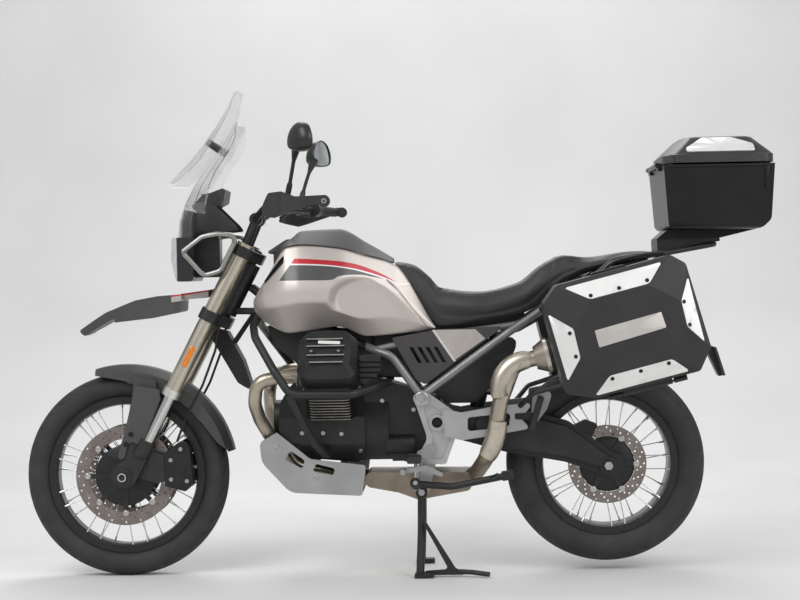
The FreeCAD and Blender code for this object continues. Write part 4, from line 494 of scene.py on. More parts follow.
axle_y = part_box("fork_legs")[1][1]
axle_rings = stamped("axle_ends", [
    (0.0095, -0.010), (0.0142, -0.010), (0.0142, 0.0012), (0.0132, 0.0024), (0.0104, 0.0024),
    (0.0095, 0.0012), (0.0092, -0.008), (0, -0.008)], 32,
    [(front_axle[0], y, front_axle[2]) for y in (axle_y, -axle_y)], [OUT_LEFT, OUT_RIGHT])
fit(finish("axle_steel", (0.55, 0.54, 0.52), (0.7, 0.69, 0.67), 0.25, 0.95, drift=90),
    "steering", "fork_chrome", axle_rings)


def rounded(corners, radius, steps=5):
    """A closed outline whose corners are eased by parabolas that start and end a radius
    from each corner: the corner plus two weighted pulls towards its neighbours."""
    corners = np.array(corners, float)
    radius = np.asarray(radius, float)[..., None]
    share = np.linspace(0, 1, steps)[:, None]
    eased = corners[..., :, None, :]
    for step, weight in ((1, (1 - share) ** 2), (-1, share ** 2)):
        run = np.roll(corners, step, axis=-2) - corners
        length = np.maximum(np.linalg.norm(run, axis=-1, keepdims=True), 1e-9)
        pull = run / length * np.minimum(radius, length * 0.45)
        eased = eased + pull[..., :, None, :] * weight
    return eased.reshape(*corners.shape[:-2], -1, corners.shape[-1])


def surfaces(name, grids, around=False, along=False, crease_deg=38):
    """Several grids of points as one mesh object, such as a left and a right half."""
    points, faces, count = [], [], 0
    for grid in grids:
        points.append(grid.reshape(-1, 3))
        faces.append(grid_faces(grid.shape[0], grid.shape[1], around, along) + count)
        count += len(points[-1])
    return piece(name, np.concatenate(points), np.concatenate(faces), crease_deg)


def raised_plates(name, outlines, outs, height, bevel, sunk=0.001):
    """Flat plates with a bevelled rim.  Each outline in space is carried outwards from
    the middle of its seat: to the edge, up it, in over the bevel, and to the middle of
    the plate.  Over the bevel, a point's reach from the middle is less by the bevel."""
    grids = []
    for outline, out in zip(outlines, outs):
        outline = np.array(outline, float)
        out = np.array(out, float) / np.linalg.norm(out)
        centre = outline.mean(axis=0)
        spread = outline - centre
        reach = np.linalg.norm(spread, axis=1, keepdims=True)
        grids.append(np.stack([centre + spread * share + out * lift for share, lift in (
            (0, -sunk), (1, -sunk), (1, height - bevel * 0.5), (1 - bevel / reach, height),
            (0, height))]))
    return surfaces(name, grids, around=True, crease_deg=30)


REFLECTOR_DOWN, REFLECTOR_AHEAD, REFLECTOR_Y = 0.385, 0.035, 0.1323
reflector_outlines = []
for side in (1, -1):
    middle = (STEERING_TOP + DOWN_FORK * REFLECTOR_DOWN + AHEAD * REFLECTOR_AHEAD
              + np.array([0, side * REFLECTOR_Y, 0]))
    oval = rounded([(-0.036, -0.0095), (0.036, -0.0095), (0.036, 0.0095), (-0.036, 0.0095)],
                   0.0095, 7)
    reflector_outlines.append(middle + oval[:, :1] * DOWN_FORK + oval[:, 1:] * AHEAD)
reflectors = raised_plates("fork_reflectors", reflector_outlines, [OUT_LEFT, OUT_RIGHT],
                           0.004, 0.002, 0.006)
amber = finish("reflector_amber", (0.62, 0.16, 0.005), (0.75, 0.22, 0.01), 0.15, grain=900,
               depth=0.0004, drift=200, Coat_Weight=0.6)
fit(amber, "steering", "fork_champagne", reflectors)

# ------------------------------------------------------- front mudguard, shields, brakes
# One moulded arch in dark grey nylon over the wheel, with a screwed shield in front of
# each inner tube.  The calipers are black castings on bright bolts.


def skin_of(part):
    """The faces of a piece, given by node name or as an object, sorted for searching."""
    mesh = nodes[part].data if isinstance(part, str) else part.data
    return BVHTree.FromPolygons([vertex.co for vertex in mesh.vertices],
                                [face.vertices[:] for face in mesh.polygons])


def seated(part, spots, side=1):
    """Where a line straight across the machine, through each (x, z) in metres, first
    meets a piece from its left (1) or right (-1) side, and which way it faces there."""
    skin = skin_of(part)
    hits = [skin.ray_cast(Vector((x, 2.0 * side, z)), Vector((0, -side, 0))) for x, z in spots]
    return np.array([hit[0] for hit in hits]), np.array([hit[1] for hit in hits])


TO_RIGHT = np.array([1, -1, 1])


def both(places, facings):
    """The same places and facings on the left and, mirrored, on the right."""
    return tuple(np.concatenate([left, np.array(left) * TO_RIGHT]) for left in (places, facings))


def bolt_shape(radius, height):
    """Half the section of a low domed bolt head with a round socket."""
    return [(0, -0.001), (radius, -0.001), (radius, height * 0.55), (radius * 0.86, height),
            (radius * 0.5, height), (radius * 0.42, height * 0.45), (0, height * 0.45)]


def screws(name, node, spots, radius, height, sides=14):
    """Domed screws on both sides of a piece, seated square to it at spots (x, z)."""
    return stamped(name, bolt_shape(radius, height), sides, *both(*seated(node, spots)))


bolt_black = finish("bolt_black", (0.010, 0.010, 0.010), (0.018, 0.018, 0.017), 0.35, 0.4, drift=90)
bolt_bright = finish("bolt_bright", (0.42, 0.41, 0.39), (0.58, 0.57, 0.55), 0.3, 0.95, drift=90)
moulded_grey = finish("moulded_grey", (0.046, 0.042, 0.042), (0.060, 0.056, 0.055), 0.5, grain=1100,
                      depth=0.00012, drift=9)
dress(moulded_grey, "front_mudguard")
fit(bolt_black, "steering", "engine_black", screws(
    "shield_bolts", "front_mudguard", [(0.844, 0.467), (0.861, 0.436)], 0.0085, 0.003))
caliper_black = finish("caliper_black", (0.012, 0.012, 0.012), (0.021, 0.020, 0.020), 0.38, 0.35,
                       grain=260, depth=0.0002, drift=24)
dress(caliper_black, "front_brakes", "rear_caliper")
fit(bolt_bright, "steering", "disc_steel", screws("caliper_bolts", "front_brakes", [
    (0.690, 0.415), (0.671, 0.312), (0.722, 0.380), (0.722, 0.318)], 0.0075, 0.005))

# ---------------------------------------------------------- yokes, handlebar, mirrors
# Black cast yokes, a tapered black bar on two risers, ribbed rubber grips, moulded hand
# guards with an aluminium end screw, and two mirrors with silvered glass behind.


def ribbed(material, pitch, depth, direction, mask=None):
    """Shallow round ribs across a direction: a sine of the place along it, in height."""
    tree = material.node_tree
    shader = tree.nodes["Principled BSDF"]
    wave = reckon(tree, "SINE", reckon(tree, "MULTIPLY", along_line(tree, np.zeros(3), direction),
                                       2 * math.pi / pitch))
    if mask is not None:
        wave = reckon(tree, "MULTIPLY", wave, mask(tree))
    bump = tree.nodes.new("ShaderNodeBump")
    bump.inputs["Distance"].default_value = depth
    tree.links.new(wave, bump.inputs["Height"])
    tree.links.new(shader.inputs["Normal"].links[0].from_socket, bump.inputs["Normal"])
    tree.links.new(bump.outputs["Normal"], shader.inputs["Normal"])


def beyond_y(tree, limit):
    """1 where the surface lies further out to either side than the limit."""
    return past(tree, reckon(tree, "ABSOLUTE", place_on(tree)[1]), limit)


satin_black = finish("satin_black", (0.013, 0.013, 0.013), (0.022, 0.022, 0.021), 0.4, 0.2,
                     grain=420, depth=0.0001, drift=15)
dress(satin_black, "yokes")
bar_finish = finish("bar_and_grips", (0.014, 0.014, 0.014), (0.022, 0.022, 0.022), 0.42, 0.2,
                    grain=600, depth=0.0001, drift=18)
patch(bar_finish, beyond_y(bar_finish.node_tree, 0.318), (0.010, 0.010, 0.010),
      (0.016, 0.016, 0.016), 0.7)
ribbed(bar_finish, 0.0052, 0.0006, (0, 1, 0), lambda tree: beyond_y(tree, 0.32))
dress(bar_finish, "handlebar")
guard_plastic = finish("guard_plastic", (0.016, 0.016, 0.017), (0.026, 0.026, 0.026), 0.45,
                       grain=900, depth=0.00014, drift=12)
dress(guard_plastic, "handguards", "screen_clamps", "instrument", "rear_mudguard")


def evenly(outline, count):
    """The closed outline walked at even steps of its own length."""
    closed = np.concatenate([outline, outline[:1]])
    walked = np.concatenate([[0], np.cumsum(np.linalg.norm(np.diff(closed, axis=0), axis=1))])
    at = np.linspace(0, walked[-1], count, endpoint=False)
    return np.stack([np.interp(at, walked, closed[:, axis]) for axis in range(2)], 1)


def tube_rows(path, section, up):
    """The points of a closed section carried along a path, with both ends closed.  At
    each station the section's first coordinate lies along up, made square to the run,
    and its second across both."""
    path = np.array(path, float)
    run = np.gradient(path, axis=0)
    run /= np.linalg.norm(run, axis=1, keepdims=True)
    first = np.array(up, float) - run * (run @ np.array(up, float))[:, None]
    first /= np.linalg.norm(first, axis=1, keepdims=True)
    second = np.cross(run, first)
    section = np.broadcast_to(section, (len(path),) + np.shape(section)[-2:])
    points = (path[:, None, :] + first[:, None, :] * section[:, :, :1]
              + second[:, None, :] * section[:, :, 1:])
    ends = points.mean(axis=1, keepdims=True) + 0 * points
    return np.concatenate([ends[:1], points, ends[-1:]])


def swept(name, path, section, up):
    """A closed section carried along a path, as one piece."""
    return surface(name, tube_rows(path, section, up), around=True)


def circle(count, radius=1.0):
    """Points evenly round a circle: radius times the cosine and the sine of the turn."""
    turn = np.linspace(0, 2 * math.pi, count, endpoint=False)
    return radius * np.stack([np.cos(turn), np.sin(turn)], axis=1)


HEAD_MIDDLE = np.array([0.250, 0.382, 1.388])
HEAD_OUTLINE = evenly(rounded([
    (0.000, 0.049), (0.038, 0.036), (0.058, -0.002), (0.051, -0.038), (0.000, -0.048),
    (-0.053, -0.040), (-0.056, 0.000), (-0.034, 0.036)], 0.026, 6), 56)
GLASS_FACING = np.array([-0.875, -0.478, 0.070])
GLASS_FACING = GLASS_FACING / np.linalg.norm(GLASS_FACING)
head_across = np.cross((0.0, 0.0, 1.0), GLASS_FACING)
head_across /= -np.linalg.norm(head_across)
head_up = np.cross(head_across, GLASS_FACING)
head_up *= np.sign(head_up[2])


def head_ring(depth, share):
    """The head's outline, drawn in to a share of its size and set a depth behind the
    glass, sliding down and inwards towards the stalk as it narrows."""
    slide = (1 - share) * (depth > 0.012) * np.array([-0.022, -0.020])
    drawn = HEAD_OUTLINE * share + slide
    return HEAD_MIDDLE + drawn[:, :1] * head_across + drawn[:, 1:] * head_up - GLASS_FACING * depth


left_head = np.stack([head_ring(*step) for step in (
    (0.0035, 0.0), (0.0035, 0.930), (0.0, 0.955), (0.0, 0.985), (0.0022, 1.0), (0.012, 1.0),
    (0.022, 0.955), (0.031, 0.86), (0.038, 0.72), (0.0435, 0.53), (0.047, 0.30), (0.0485, 0.0))])
# the stalk rises from the bar on a cubic curve through two pulls, thick at its foot and head
reach = np.linspace(0, 1, 26)[:, None]
stalk_path = ((1 - reach) ** 3 * np.array([0.322, 0.250, 1.200])
              + 3 * reach * (1 - reach) ** 2 * np.array([0.305, 0.254, 1.262])
              + 3 * reach ** 2 * (1 - reach) * np.array([0.297, 0.300, 1.306])
              + reach ** 3 * np.array([0.278, 0.352, 1.362]))
stalk_radius = np.interp(reach[:, 0], [0, 0.29, 0.31, 0.72, 1.0],
                         [0.0095, 0.009, 0.006, 0.006, 0.016])
left_stalk = tube_rows(stalk_path, stalk_radius[:, None, None] * circle(20), (1, 0, 0))
mirror_heads = surfaces("mirror_heads", [left_head, left_head * TO_RIGHT], around=True,
                        crease_deg=32)
mirror_stalks = surfaces("mirror_stalks", [left_stalk, left_stalk * TO_RIGHT], around=True)
mirror_shell = finish("mirror_shell", (0.012, 0.011, 0.011), (0.018, 0.017, 0.016), 0.36,
                      grain=900, depth=0.00008, drift=12)
fit(mirror_shell, "steering", "black_plastic", mirror_heads, instead_of="mirrors")
fit(mirror_shell, "steering", "black_plastic", mirror_stalks)
glass_ring = head_ring(0.0035, 0.925)
mirror_glass = raised_plates("mirror_glass", [glass_ring, glass_ring * TO_RIGHT],
                             [GLASS_FACING, GLASS_FACING * TO_RIGHT], 0.0016, 0.0008)
fit(finish("silvered_glass", (0.55, 0.57, 0.58), (0.62, 0.64, 0.65), 0.04, 1.0, grain=60,
           depth=0.00001, uneven=0.01), "steering", "clear_screen", mirror_glass)
guard_end = both([(0.190, 0.469, 1.186)], [OUT_LEFT])
guard_ends = stamped("guard_ends", [(0, -0.022), (0.0165, -0.022), (0.018, -0.020), (0.018, 0),
                                    (0.0166, 0.0016), (0, 0.0016)], 36, *guard_end)
fit(guard_plastic, "steering", "black_plastic", guard_ends)
guard_screws = stamped("guard_end_screws", [
    (0, 0.001), (0.0082, 0.001), (0.0082, 0.0032), (0.0075, 0.0040), (0.0040, 0.0040),
    (0.0034, 0.0022), (0, 0.0022)], 24, *guard_end)
fit(bolt_bright, "steering", "disc_steel", guard_screws)

# ------------------------------------------------------------------ lamp, screen, beak
# A black lamp housing with a pale front glass, a bent chromed guard wire and a moulded
# cowl on each side, a tall screen and deflector of clear polycarbonate, and a nylon beak.
LAMP_GLASS_FROM = 0.690
BEAK_PAINT_UP_TO, BEAK_SLOPE, PALE_STRIPE = 0.712, -0.14, (0.986, 1.003)
lamp_black = finish("lamp_housing", (0.012, 0.012, 0.012), (0.02, 0.02, 0.02), 0.3, grain=900,
                    depth=0.00008)
tree = lamp_black.node_tree
patch(lamp_black, past(tree, place_on(tree)[0], LAMP_GLASS_FROM, 0.004), (0.46, 0.48, 0.50),
      (0.58, 0.60, 0.62), 0.12)
dress(lamp_black, "headlight")
wire_steel = finish("guard_wire", (0.30, 0.29, 0.27), (0.42, 0.41, 0.39), 0.3, 0.9, grain=300,
                    depth=0.00004)
dress(wire_steel, "headlight_bracket")
clear_sheet = finish("clear_sheet", (0.93, 0.90, 0.91), (0.97, 0.95, 0.95), 0.05, grain=40,
                     depth=0.00002, uneven=0.02, Transmission_Weight=1.0, IOR=1.2, Alpha=0.75)
dress(clear_sheet, "windscreen")
beak_finish = finish("beak_nylon", (0.046, 0.042, 0.042), (0.060, 0.056, 0.055), 0.48, grain=1100,
                     depth=0.00012, drift=9)
tree = beak_finish.node_tree
x, _, z = place_on(tree)
red_height = reckon(tree, "SUBTRACT", z, reckon(tree, "MULTIPLY_ADD", x, BEAK_SLOPE, 0.0))
beak_rear = apart_from(tree, past(tree, x, BEAK_PAINT_UP_TO, 0.001))
patch(beak_finish, reckon(tree, "MULTIPLY", beak_rear, within(tree, red_height, *PALE_STRIPE)),
      (0.42, 0.38, 0.35), (0.50, 0.46, 0.43), 0.4, 0.4)
patch(beak_finish, reckon(tree, "MULTIPLY", beak_rear, past(tree, red_height, PALE_STRIPE[1])),
      (0.42, 0.02, 0.03), (0.50, 0.03, 0.04), 0.35)
dress(beak_finish, "beak")


def upright(outline, y):
    """A flat outline, (forward, up), stood upright at a place across the machine."""
    return np.stack([outline[:, 0], np.full(len(outline), y), outline[:, 1]], 1)


def side_sheets(name, outline, y, height, bevel):
    """A moulded sheet on each side: the outline at y and at minus y, raised outwards."""
    return raised_plates(name, [upright(outline, y), upright(outline, -y)],
                         [OUT_LEFT, OUT_RIGHT], height, bevel)


cowl_side = rounded([(0.624, 1.176), (0.606, 1.236), (0.578, 1.206), (0.500, 1.128),
                     (0.494, 1.114), (0.536, 1.110), (0.590, 1.106), (0.628, 1.120)], 0.008)
fit(guard_plastic, "chassis", "black_plastic",
    side_sheets("side_cowls", cowl_side, 0.084, 0.006, 0.003))

# ------------------------------------------------------------------------------- frame
# Round steel tubes, welded, painted grey where they show behind the engine, and black in
# front of it and under the tail.
GREY_FROM, GREY_TO = -0.50, 0.09
frame_black = ((0.013, 0.013, 0.013), (0.022, 0.022, 0.021), 0.42, 0.2)
frame_paint = finish("frame_paint", (0.20, 0.20, 0.195), (0.26, 0.26, 0.25), 0.38, 0.5, grain=500,
                     depth=0.0001, drift=16)
tree = frame_paint.node_tree
patch(frame_paint, past(tree, place_on(tree)[0], GREY_TO, 0.002), *frame_black)
patch(frame_paint, apart_from(tree, past(tree, place_on(tree)[0], GREY_FROM, 0.002)), *frame_black)
dress(frame_paint, "frame")

# ------------------------------------------------------------------------------ engine
# Cast aluminium cases painted satin black, with sand grain; the fin tips and the ribs of
# the rocker covers are machined back to bare metal.  Caps and screws are zinc plated.
CRANK_HEIGHT = 0.430
LEAN = math.radians(45)
COVER_RIBS = 0.4292
FINS_FROM, FINS_TO, FIN_TIPS = 0.180, 0.282, -0.0728


def out_of_crank(tree):
    """How far a point lies from the crankshaft along its own cylinder's bore."""
    _, y, z = place_on(tree)
    return reckon(tree, "MULTIPLY_ADD", reckon(tree, "ABSOLUTE", y), math.sin(LEAN), reckon(
        tree, "MULTIPLY", reckon(tree, "SUBTRACT", z, CRANK_HEIGHT), math.cos(LEAN)))


def across_bore(tree):
    """How far a point lies above the bore's own line, square to it."""
    _, y, z = place_on(tree)
    return reckon(tree, "MULTIPLY_ADD", reckon(tree, "ABSOLUTE", y), -math.cos(LEAN), reckon(
        tree, "MULTIPLY", reckon(tree, "SUBTRACT", z, CRANK_HEIGHT), math.sin(LEAN)))


case_black = finish("engine_case_black", (0.013, 0.013, 0.013), (0.023, 0.022, 0.021), 0.42, 0.25,
                    grain=380, depth=0.00035, drift=14)
dress(case_black, "engine_block", "throttle_bodies")
cylinder_black = finish("cylinder_black", (0.012, 0.012, 0.012), (0.020, 0.020, 0.019), 0.38, 0.25,
                        grain=380, depth=0.0002, drift=14)
tree = cylinder_black.node_tree
bare = ((0.30, 0.28, 0.25), (0.42, 0.40, 0.36), 0.4, 0.8)
patch(cylinder_black, past(tree, out_of_crank(tree), COVER_RIBS, 0.0008), *bare)
below_tips = apart_from(tree, past(tree, across_bore(tree), FIN_TIPS))
fin_zone = within(tree, out_of_crank(tree), FINS_FROM, FINS_TO, 0.002)
patch(cylinder_black, reckon(tree, "MULTIPLY", below_tips, fin_zone), *bare)
dress(cylinder_black, "cylinders")

label_places, label_facings = seated("cylinders", [
    (0.229, 0.761), (0.160, 0.758), (0.161, 0.749), (0.229, 0.752)])
label_out = label_facings.mean(axis=0)
blank_labels = raised_plates("blank_labels", [
    rounded(label_places, 0.002), rounded(label_places * TO_RIGHT, 0.002)],
    [label_out, label_out * TO_RIGHT], 0.0008, 0.0004)
fit(finish("label_white", (0.66, 0.66, 0.64), (0.74, 0.74, 0.72), 0.5, drift=120),
    "chassis", "plate_aluminium", blank_labels)
fit(bolt_bright, "chassis", "disc_steel", screws("engine_bolts", "engine_block", [
    (0.112, 0.600), (0.110, 0.405), (0.294, 0.464), (0.227, 0.463), (0.169, 0.460), (0.215, 0.560),
    (0.226, 0.400), (0.040, 0.560), (-0.060, 0.530), (-0.140, 0.430)], 0.0075, 0.004))
fit(bolt_bright, "chassis", "disc_steel", screws(
    "head_screws", "cylinders", [(0.165, 0.728), (0.250, 0.728)], 0.0062, 0.004, 12))
cooler_finish = finish("cooler_black", (0.013, 0.013, 0.013), (0.022, 0.022, 0.021), 0.5, 0.2,
                       grain=300, depth=0.0002)
ribbed(cooler_finish, 0.006, 0.0012, (0.32, 0, 0.95))
dress(cooler_finish, "oil_cooler")

# ----------------------------------------------------------------------------- exhaust
# Stainless headers that heat has tinted straw, a bronze collector box under the gearbox,
# two heat shields screwed to the link pipe, and a black steel silencer with bright bands.
SHIELD_INSIDE, SHIELD_SHEET = 0.0305, 0.0016
tinted = finish("heat_tinted_steel", (0.42, 0.36, 0.28), (0.50, 0.44, 0.36), 0.34, 0.9, grain=420,
                depth=0.000012, drift=6, uneven=0.04)
tree = tinted.node_tree
patch(tinted, within(tree, place_on(tree)[0], -0.30, 0.10, 0.05), (0.22, 0.18, 0.14),
      (0.33, 0.27, 0.21), 0.42, 0.85, drift=14)
dress(tinted, "exhaust_pipes")
BACK_ALONG = np.array([-0.97463, 0, 0.22388])
silencer_front = np.array([-0.4465, 0.193, 0.6922])
BAND_START, BAND_END = 0.0325, 0.0445
silencer_black = finish("silencer_black", (0.016, 0.016, 0.016), (0.026, 0.026, 0.025), 0.42, 0.3,
                        grain=600, depth=0.0001)
tree = silencer_black.node_tree
back = along_line(tree, silencer_front, BACK_ALONG)
patch(silencer_black, within(tree, back, BAND_START, BAND_END), (0.62, 0.56, 0.50),
      (0.72, 0.66, 0.60), 0.3, 0.9)
patch(silencer_black, apart_from(tree, past(tree, back, BAND_START)), (0.30, 0.26, 0.21),
      (0.40, 0.35, 0.29), 0.35, 0.9)
dress(silencer_black, "silencer")


def heat_shield(name, stations, start_y, end_y, span_deg, taper):
    """A band of a tube's wall round the link pipe, on an arc through three (x, z)
    stations: the wall's arc out and the same arc back, one sheet further in, whose
    span narrows by the taper times the fourth power of the way to either end."""
    path = upright(arc(*stations, 22), np.linspace(start_y, end_y, 22))
    along = np.linspace(-1, 1, len(path))[:, None]
    half = math.radians(span_deg) * (1 - taper * along ** 4)
    sweep = np.linspace(-1, 1, 15)[None, :]
    outside = SHIELD_INSIDE + SHIELD_SHEET
    outer_wall = np.stack([np.cos(half * sweep), np.sin(half * sweep)], -1) * outside
    inner_wall = outer_wall[:, ::-1] * SHIELD_INSIDE / outside
    return swept(name, path, np.concatenate([outer_wall, inner_wall], axis=1), (0, 1, 0))


shield_tint = finish("shield_steel", (0.50, 0.44, 0.36), (0.60, 0.54, 0.45), 0.34, 0.9, grain=300,
                     depth=0.00005, drift=12)
upper_shield = heat_shield("upper_heat_shield", (
    (-0.336, 0.572), (-0.366, 0.664), (-0.428, 0.688)), 0.196, 0.193, 80, 0.35)
lower_shield = heat_shield("lower_heat_shield", (
    (-0.290, 0.384), (-0.316, 0.440), (-0.328, 0.500)), 0.176, 0.196, 74, 0.30)
shield_spots = zip(seated(upper_shield, [(-0.398, 0.672), (-0.350, 0.606)]),
                   seated(lower_shield, [(-0.322, 0.474), (-0.300, 0.404)]))
shield_screws = stamped("shield_screws", bolt_shape(0.0068, 0.003), 14,
                        *map(np.concatenate, shield_spots))
fit(shield_tint, "chassis", "exhaust_metal", upper_shield, lower_shield)
fit(bolt_bright, "chassis", "disc_steel", shield_screws)

# ---------------------------------------------------- skid plate, crash bars, castings
# A folded aluminium skid plate on bright steel screws, tubular crash bars in black powder
# coat, and cast aluminium side plates and foot rest brackets, shot blasted and lacquered.
skid_metal = finish("skid_aluminium", (0.34, 0.34, 0.335), (0.43, 0.43, 0.42), 0.42, 0.75,
                    grain=400, depth=0.00012, drift=8, uneven=0.1)
dress(skid_metal, "skid_plate")
fit(bolt_bright, "chassis", "disc_steel", screws(
    "skid_screws", "skid_plate", [(0.375, 0.424), (0.250, 0.326)], 0.0085, 0.004, 16))
coated_black = finish("coated_black", (0.012, 0.012, 0.012), (0.020, 0.020, 0.020), 0.45, 0.15,
                      grain=800, depth=0.0002, drift=10)
dress(coated_black, "crash_bars", "swingarm", "luggage_rack", "centre_stand", "side_stand")
cast_metal = finish("cast_aluminium", (0.40, 0.40, 0.39), (0.50, 0.50, 0.49), 0.36, 0.75,
                    grain=420, depth=0.0003, drift=12, uneven=0.1)
dress(cast_metal, "side_plates", "peg_brackets")
pivot_caps = stamped("pivot_caps", [
    (0, -0.001), (0.0215, -0.001), (0.0215, 0.002), (0.0200, 0.003), (0.0150, 0.003),
    (0.0142, 0.0005), (0.0082, 0.0005), (0.0076, 0.0034), (0.0036, 0.0034), (0.0030, 0.001),
    (0, 0.001)], 40, *both([(-0.088, 0.146, 0.567)], [OUT_LEFT]))
fit(finish("cap_steel", (0.40, 0.40, 0.39), (0.52, 0.52, 0.5), 0.3, 0.9, drift=70),
    "chassis", "cast_aluminium", pivot_caps)
fit(bolt_bright, "chassis", "disc_steel", screws(
    "plate_screws", "side_plates", [(-0.122, 0.407)], 0.0105, 0.005, 18))

# ---------------------------------------------------- foot controls, rear axle, spring
# Silver levers and foot rests with ribbed rubber tops, plated nuts on the rear axle, and
# a coil spring wound from painted steel rod round the damper.
PEGS_FROM, PEGS_ABOVE = 0.160, 0.362
control_finish = finish("controls", (0.30, 0.30, 0.29), (0.40, 0.40, 0.39), 0.4, 0.7, grain=400,
                        depth=0.0002, drift=20)
tree = control_finish.node_tree
peg_rubber = reckon(tree, "MULTIPLY", beyond_y(tree, PEGS_FROM),
                    past(tree, place_on(tree)[2], PEGS_ABOVE))
patch(control_finish, peg_rubber, (0.013, 0.013, 0.013), (0.02, 0.02, 0.02), 0.65)
ribbed(control_finish, 0.008, 0.0010, (0, 1, 0), lambda tree: beyond_y(tree, 0.168))
dress(control_finish, "foot_controls")
hub_nut = stamped("rear_axle_nuts", [
    (0, -0.001), (0.0150, -0.001), (0.0150, 0.007), (0.0135, 0.009), (0.0078, 0.009),
    (0.0070, 0.002), (0, 0.002)], 6, [(rear_axle[0], 0.146, rear_axle[2])], [OUT_LEFT], 20)
fit(bolt_bright, "chassis", "disc_steel", hub_nut)
COILS, SPRING_LENGTH, SPRING_RADIUS, ROD_RADIUS = 6.5, 0.128, 0.0375, 0.0055
spring_turns = np.linspace(0, 2 * math.pi * COILS, 340)
spring_axis = np.array([-0.2414, 0, 0.9704])
spring_side = np.array([0.9704, 0, 0.2414])
spring_foot = np.array([-0.278, 0, 0.584])
spring_path = (spring_foot + spring_axis * np.linspace(0, SPRING_LENGTH, 340)[:, None]
               + SPRING_RADIUS * (np.cos(spring_turns)[:, None] * spring_side
                                  + np.sin(spring_turns)[:, None] * np.array(OUT_LEFT)))
spring = swept("shock_spring", spring_path, circle(10, ROD_RADIUS), spring_axis)
fit(finish("spring_paint", (0.30, 0.30, 0.29), (0.38, 0.38, 0.37), 0.4, 0.5, drift=30),
    "chassis", "black_steel", spring)
dress(satin_black, "rear_shock")

# ---------------------------------------------------------------- fuel tank and cover
# Welded steel tank in champagne metallic lacquer, hollowed on both sides for the knees,
# with a red and a grey stripe under the lacquer and a matt moulded cover on its back.


def eased_between(stations, values, at):
    """Values on a curve through the stations: a cubic between neighbours, where each
    station's slope is the harmonic mean of the slopes either side, so it never swings
    past them."""
    order = np.argsort(stations)
    stations, values = np.array(stations, float)[order], np.array(values, float)[order]
    step = np.diff(stations)[:, None]
    slope = np.diff(values, axis=0) / step
    product = slope[:-1] * slope[1:]
    total = slope[:-1] + slope[1:]
    inner = np.where(product > 0, 2 * product / np.where(total == 0, 1, total), 0)
    tangent = np.concatenate([slope[:1], inner, slope[-1:]])
    cell = np.clip(np.searchsorted(stations, at, side="right") - 1, 0, len(stations) - 2)
    share = ((at - stations[cell]) / step[cell, 0])[:, None]
    return ((2 * share ** 3 - 3 * share ** 2 + 1) * values[cell]
            + (share ** 3 - 2 * share ** 2 + share) * step[cell] * tangent[cell]
            + (3 * share ** 2 - 2 * share ** 3) * values[cell + 1]
            + (share ** 3 - share ** 2) * step[cell] * tangent[cell + 1])


def inside_by(corners, x, z):
    """How deep (x, z) lies inside a convex outline: the least distance to its edges."""
    corners = np.array(corners, float)
    run = np.roll(corners, -1, axis=0) - corners
    run /= np.linalg.norm(run, axis=1, keepdims=True)
    way = np.sign(np.sum(corners[:, 0] * np.roll(corners[:, 1], -1)
                         - np.roll(corners[:, 0], -1) * corners[:, 1]))
    distance = way * (run[:, 0] * (z[..., None] - corners[:, 1])
                      - run[:, 1] * (x[..., None] - corners[:, 0]))
    return distance.min(axis=-1)


def ease(value):
    """0 below 0, 1 above 1 and a smooth step between."""
    value = np.clip(value, 0, 1)
    return value * value * (3 - 2 * value)


TANK_STATIONS = [0.448, 0.430, 0.404, 0.330, 0.290, 0.170, 0.084, -0.002, -0.134]
# at each station: half width and height of the lower edge, belly, shoulder and top edge
TANK_CORNERS = np.array([
    (62, 856, 86, 869, 88, 880, 78, 890), (76, 832, 116, 864, 122, 888, 102, 919),
    (86, 812, 142, 864, 152, 892, 124, 956.5),
    (118, 782, 189, 875, 195, 926, 150, 1056), (126, 786, 199, 883, 201, 936, 152, 1061),
    (128, 800, 197, 881, 195, 936, 146, 1050), (112, 768, 161, 842, 169, 926, 128, 1026),
    (104, 772, 135, 832, 139, 901, 104, 999.5), (96, 787, 107, 789, 107, 793, 98, 797)]) / 1000
KNEE_OUTLINE = [(0.204, 0.846), (0.213, 0.872), (0.213, 0.900), (0.203, 0.927), (0.183, 0.948),
                (0.155, 0.960), (0.123, 0.963), (0.062, 0.955), (0.010, 0.940), (-0.015, 0.914),
                (-0.110, 0.782), (0.020, 0.730), (0.100, 0.735), (0.170, 0.790)]
SLOT_OUTLINE = [(0.341, 1.028), (0.351, 1.021), (0.409, 0.950), (0.407, 0.941), (0.396, 0.950),
                (0.343, 1.005)]
SEAM_RUN = [(0.013, 0.943), (-0.016, 0.914), (-0.101, 0.801)]
TUNNEL_HALF, OPEN_HALF, LEAST_WALL = 0.066, 0.0655, 0.004
KNEE_WALL_Y, KNEE_WALL_X, KNEE_WALL_SLOPE = 0.1810, 0.213, 0.2053
KNEE_EDGE, KNEE_EDGE_MORE, SOFT_FROM, SOFT_RUN = 0.006, 0.034, 0.050, 0.14
OUTER_WALL, SLOT_WALL = 0.08, 0.10
BOWL_DEPTH, BOWL_EDGE = 0.0045, 0.045
SLOT_DEPTH, SLOT_EDGE = 0.012, 0.003
SEAM_DEPTH, SEAM_EDGE = 0.0028, 0.0032
tank_x = np.concatenate([np.linspace(0.448, 0.30, 44), np.linspace(0.30, -0.134, 118)[1:]])
corner_rows = eased_between(TANK_STATIONS, TANK_CORNERS, tank_x).reshape(-1, 4, 2)
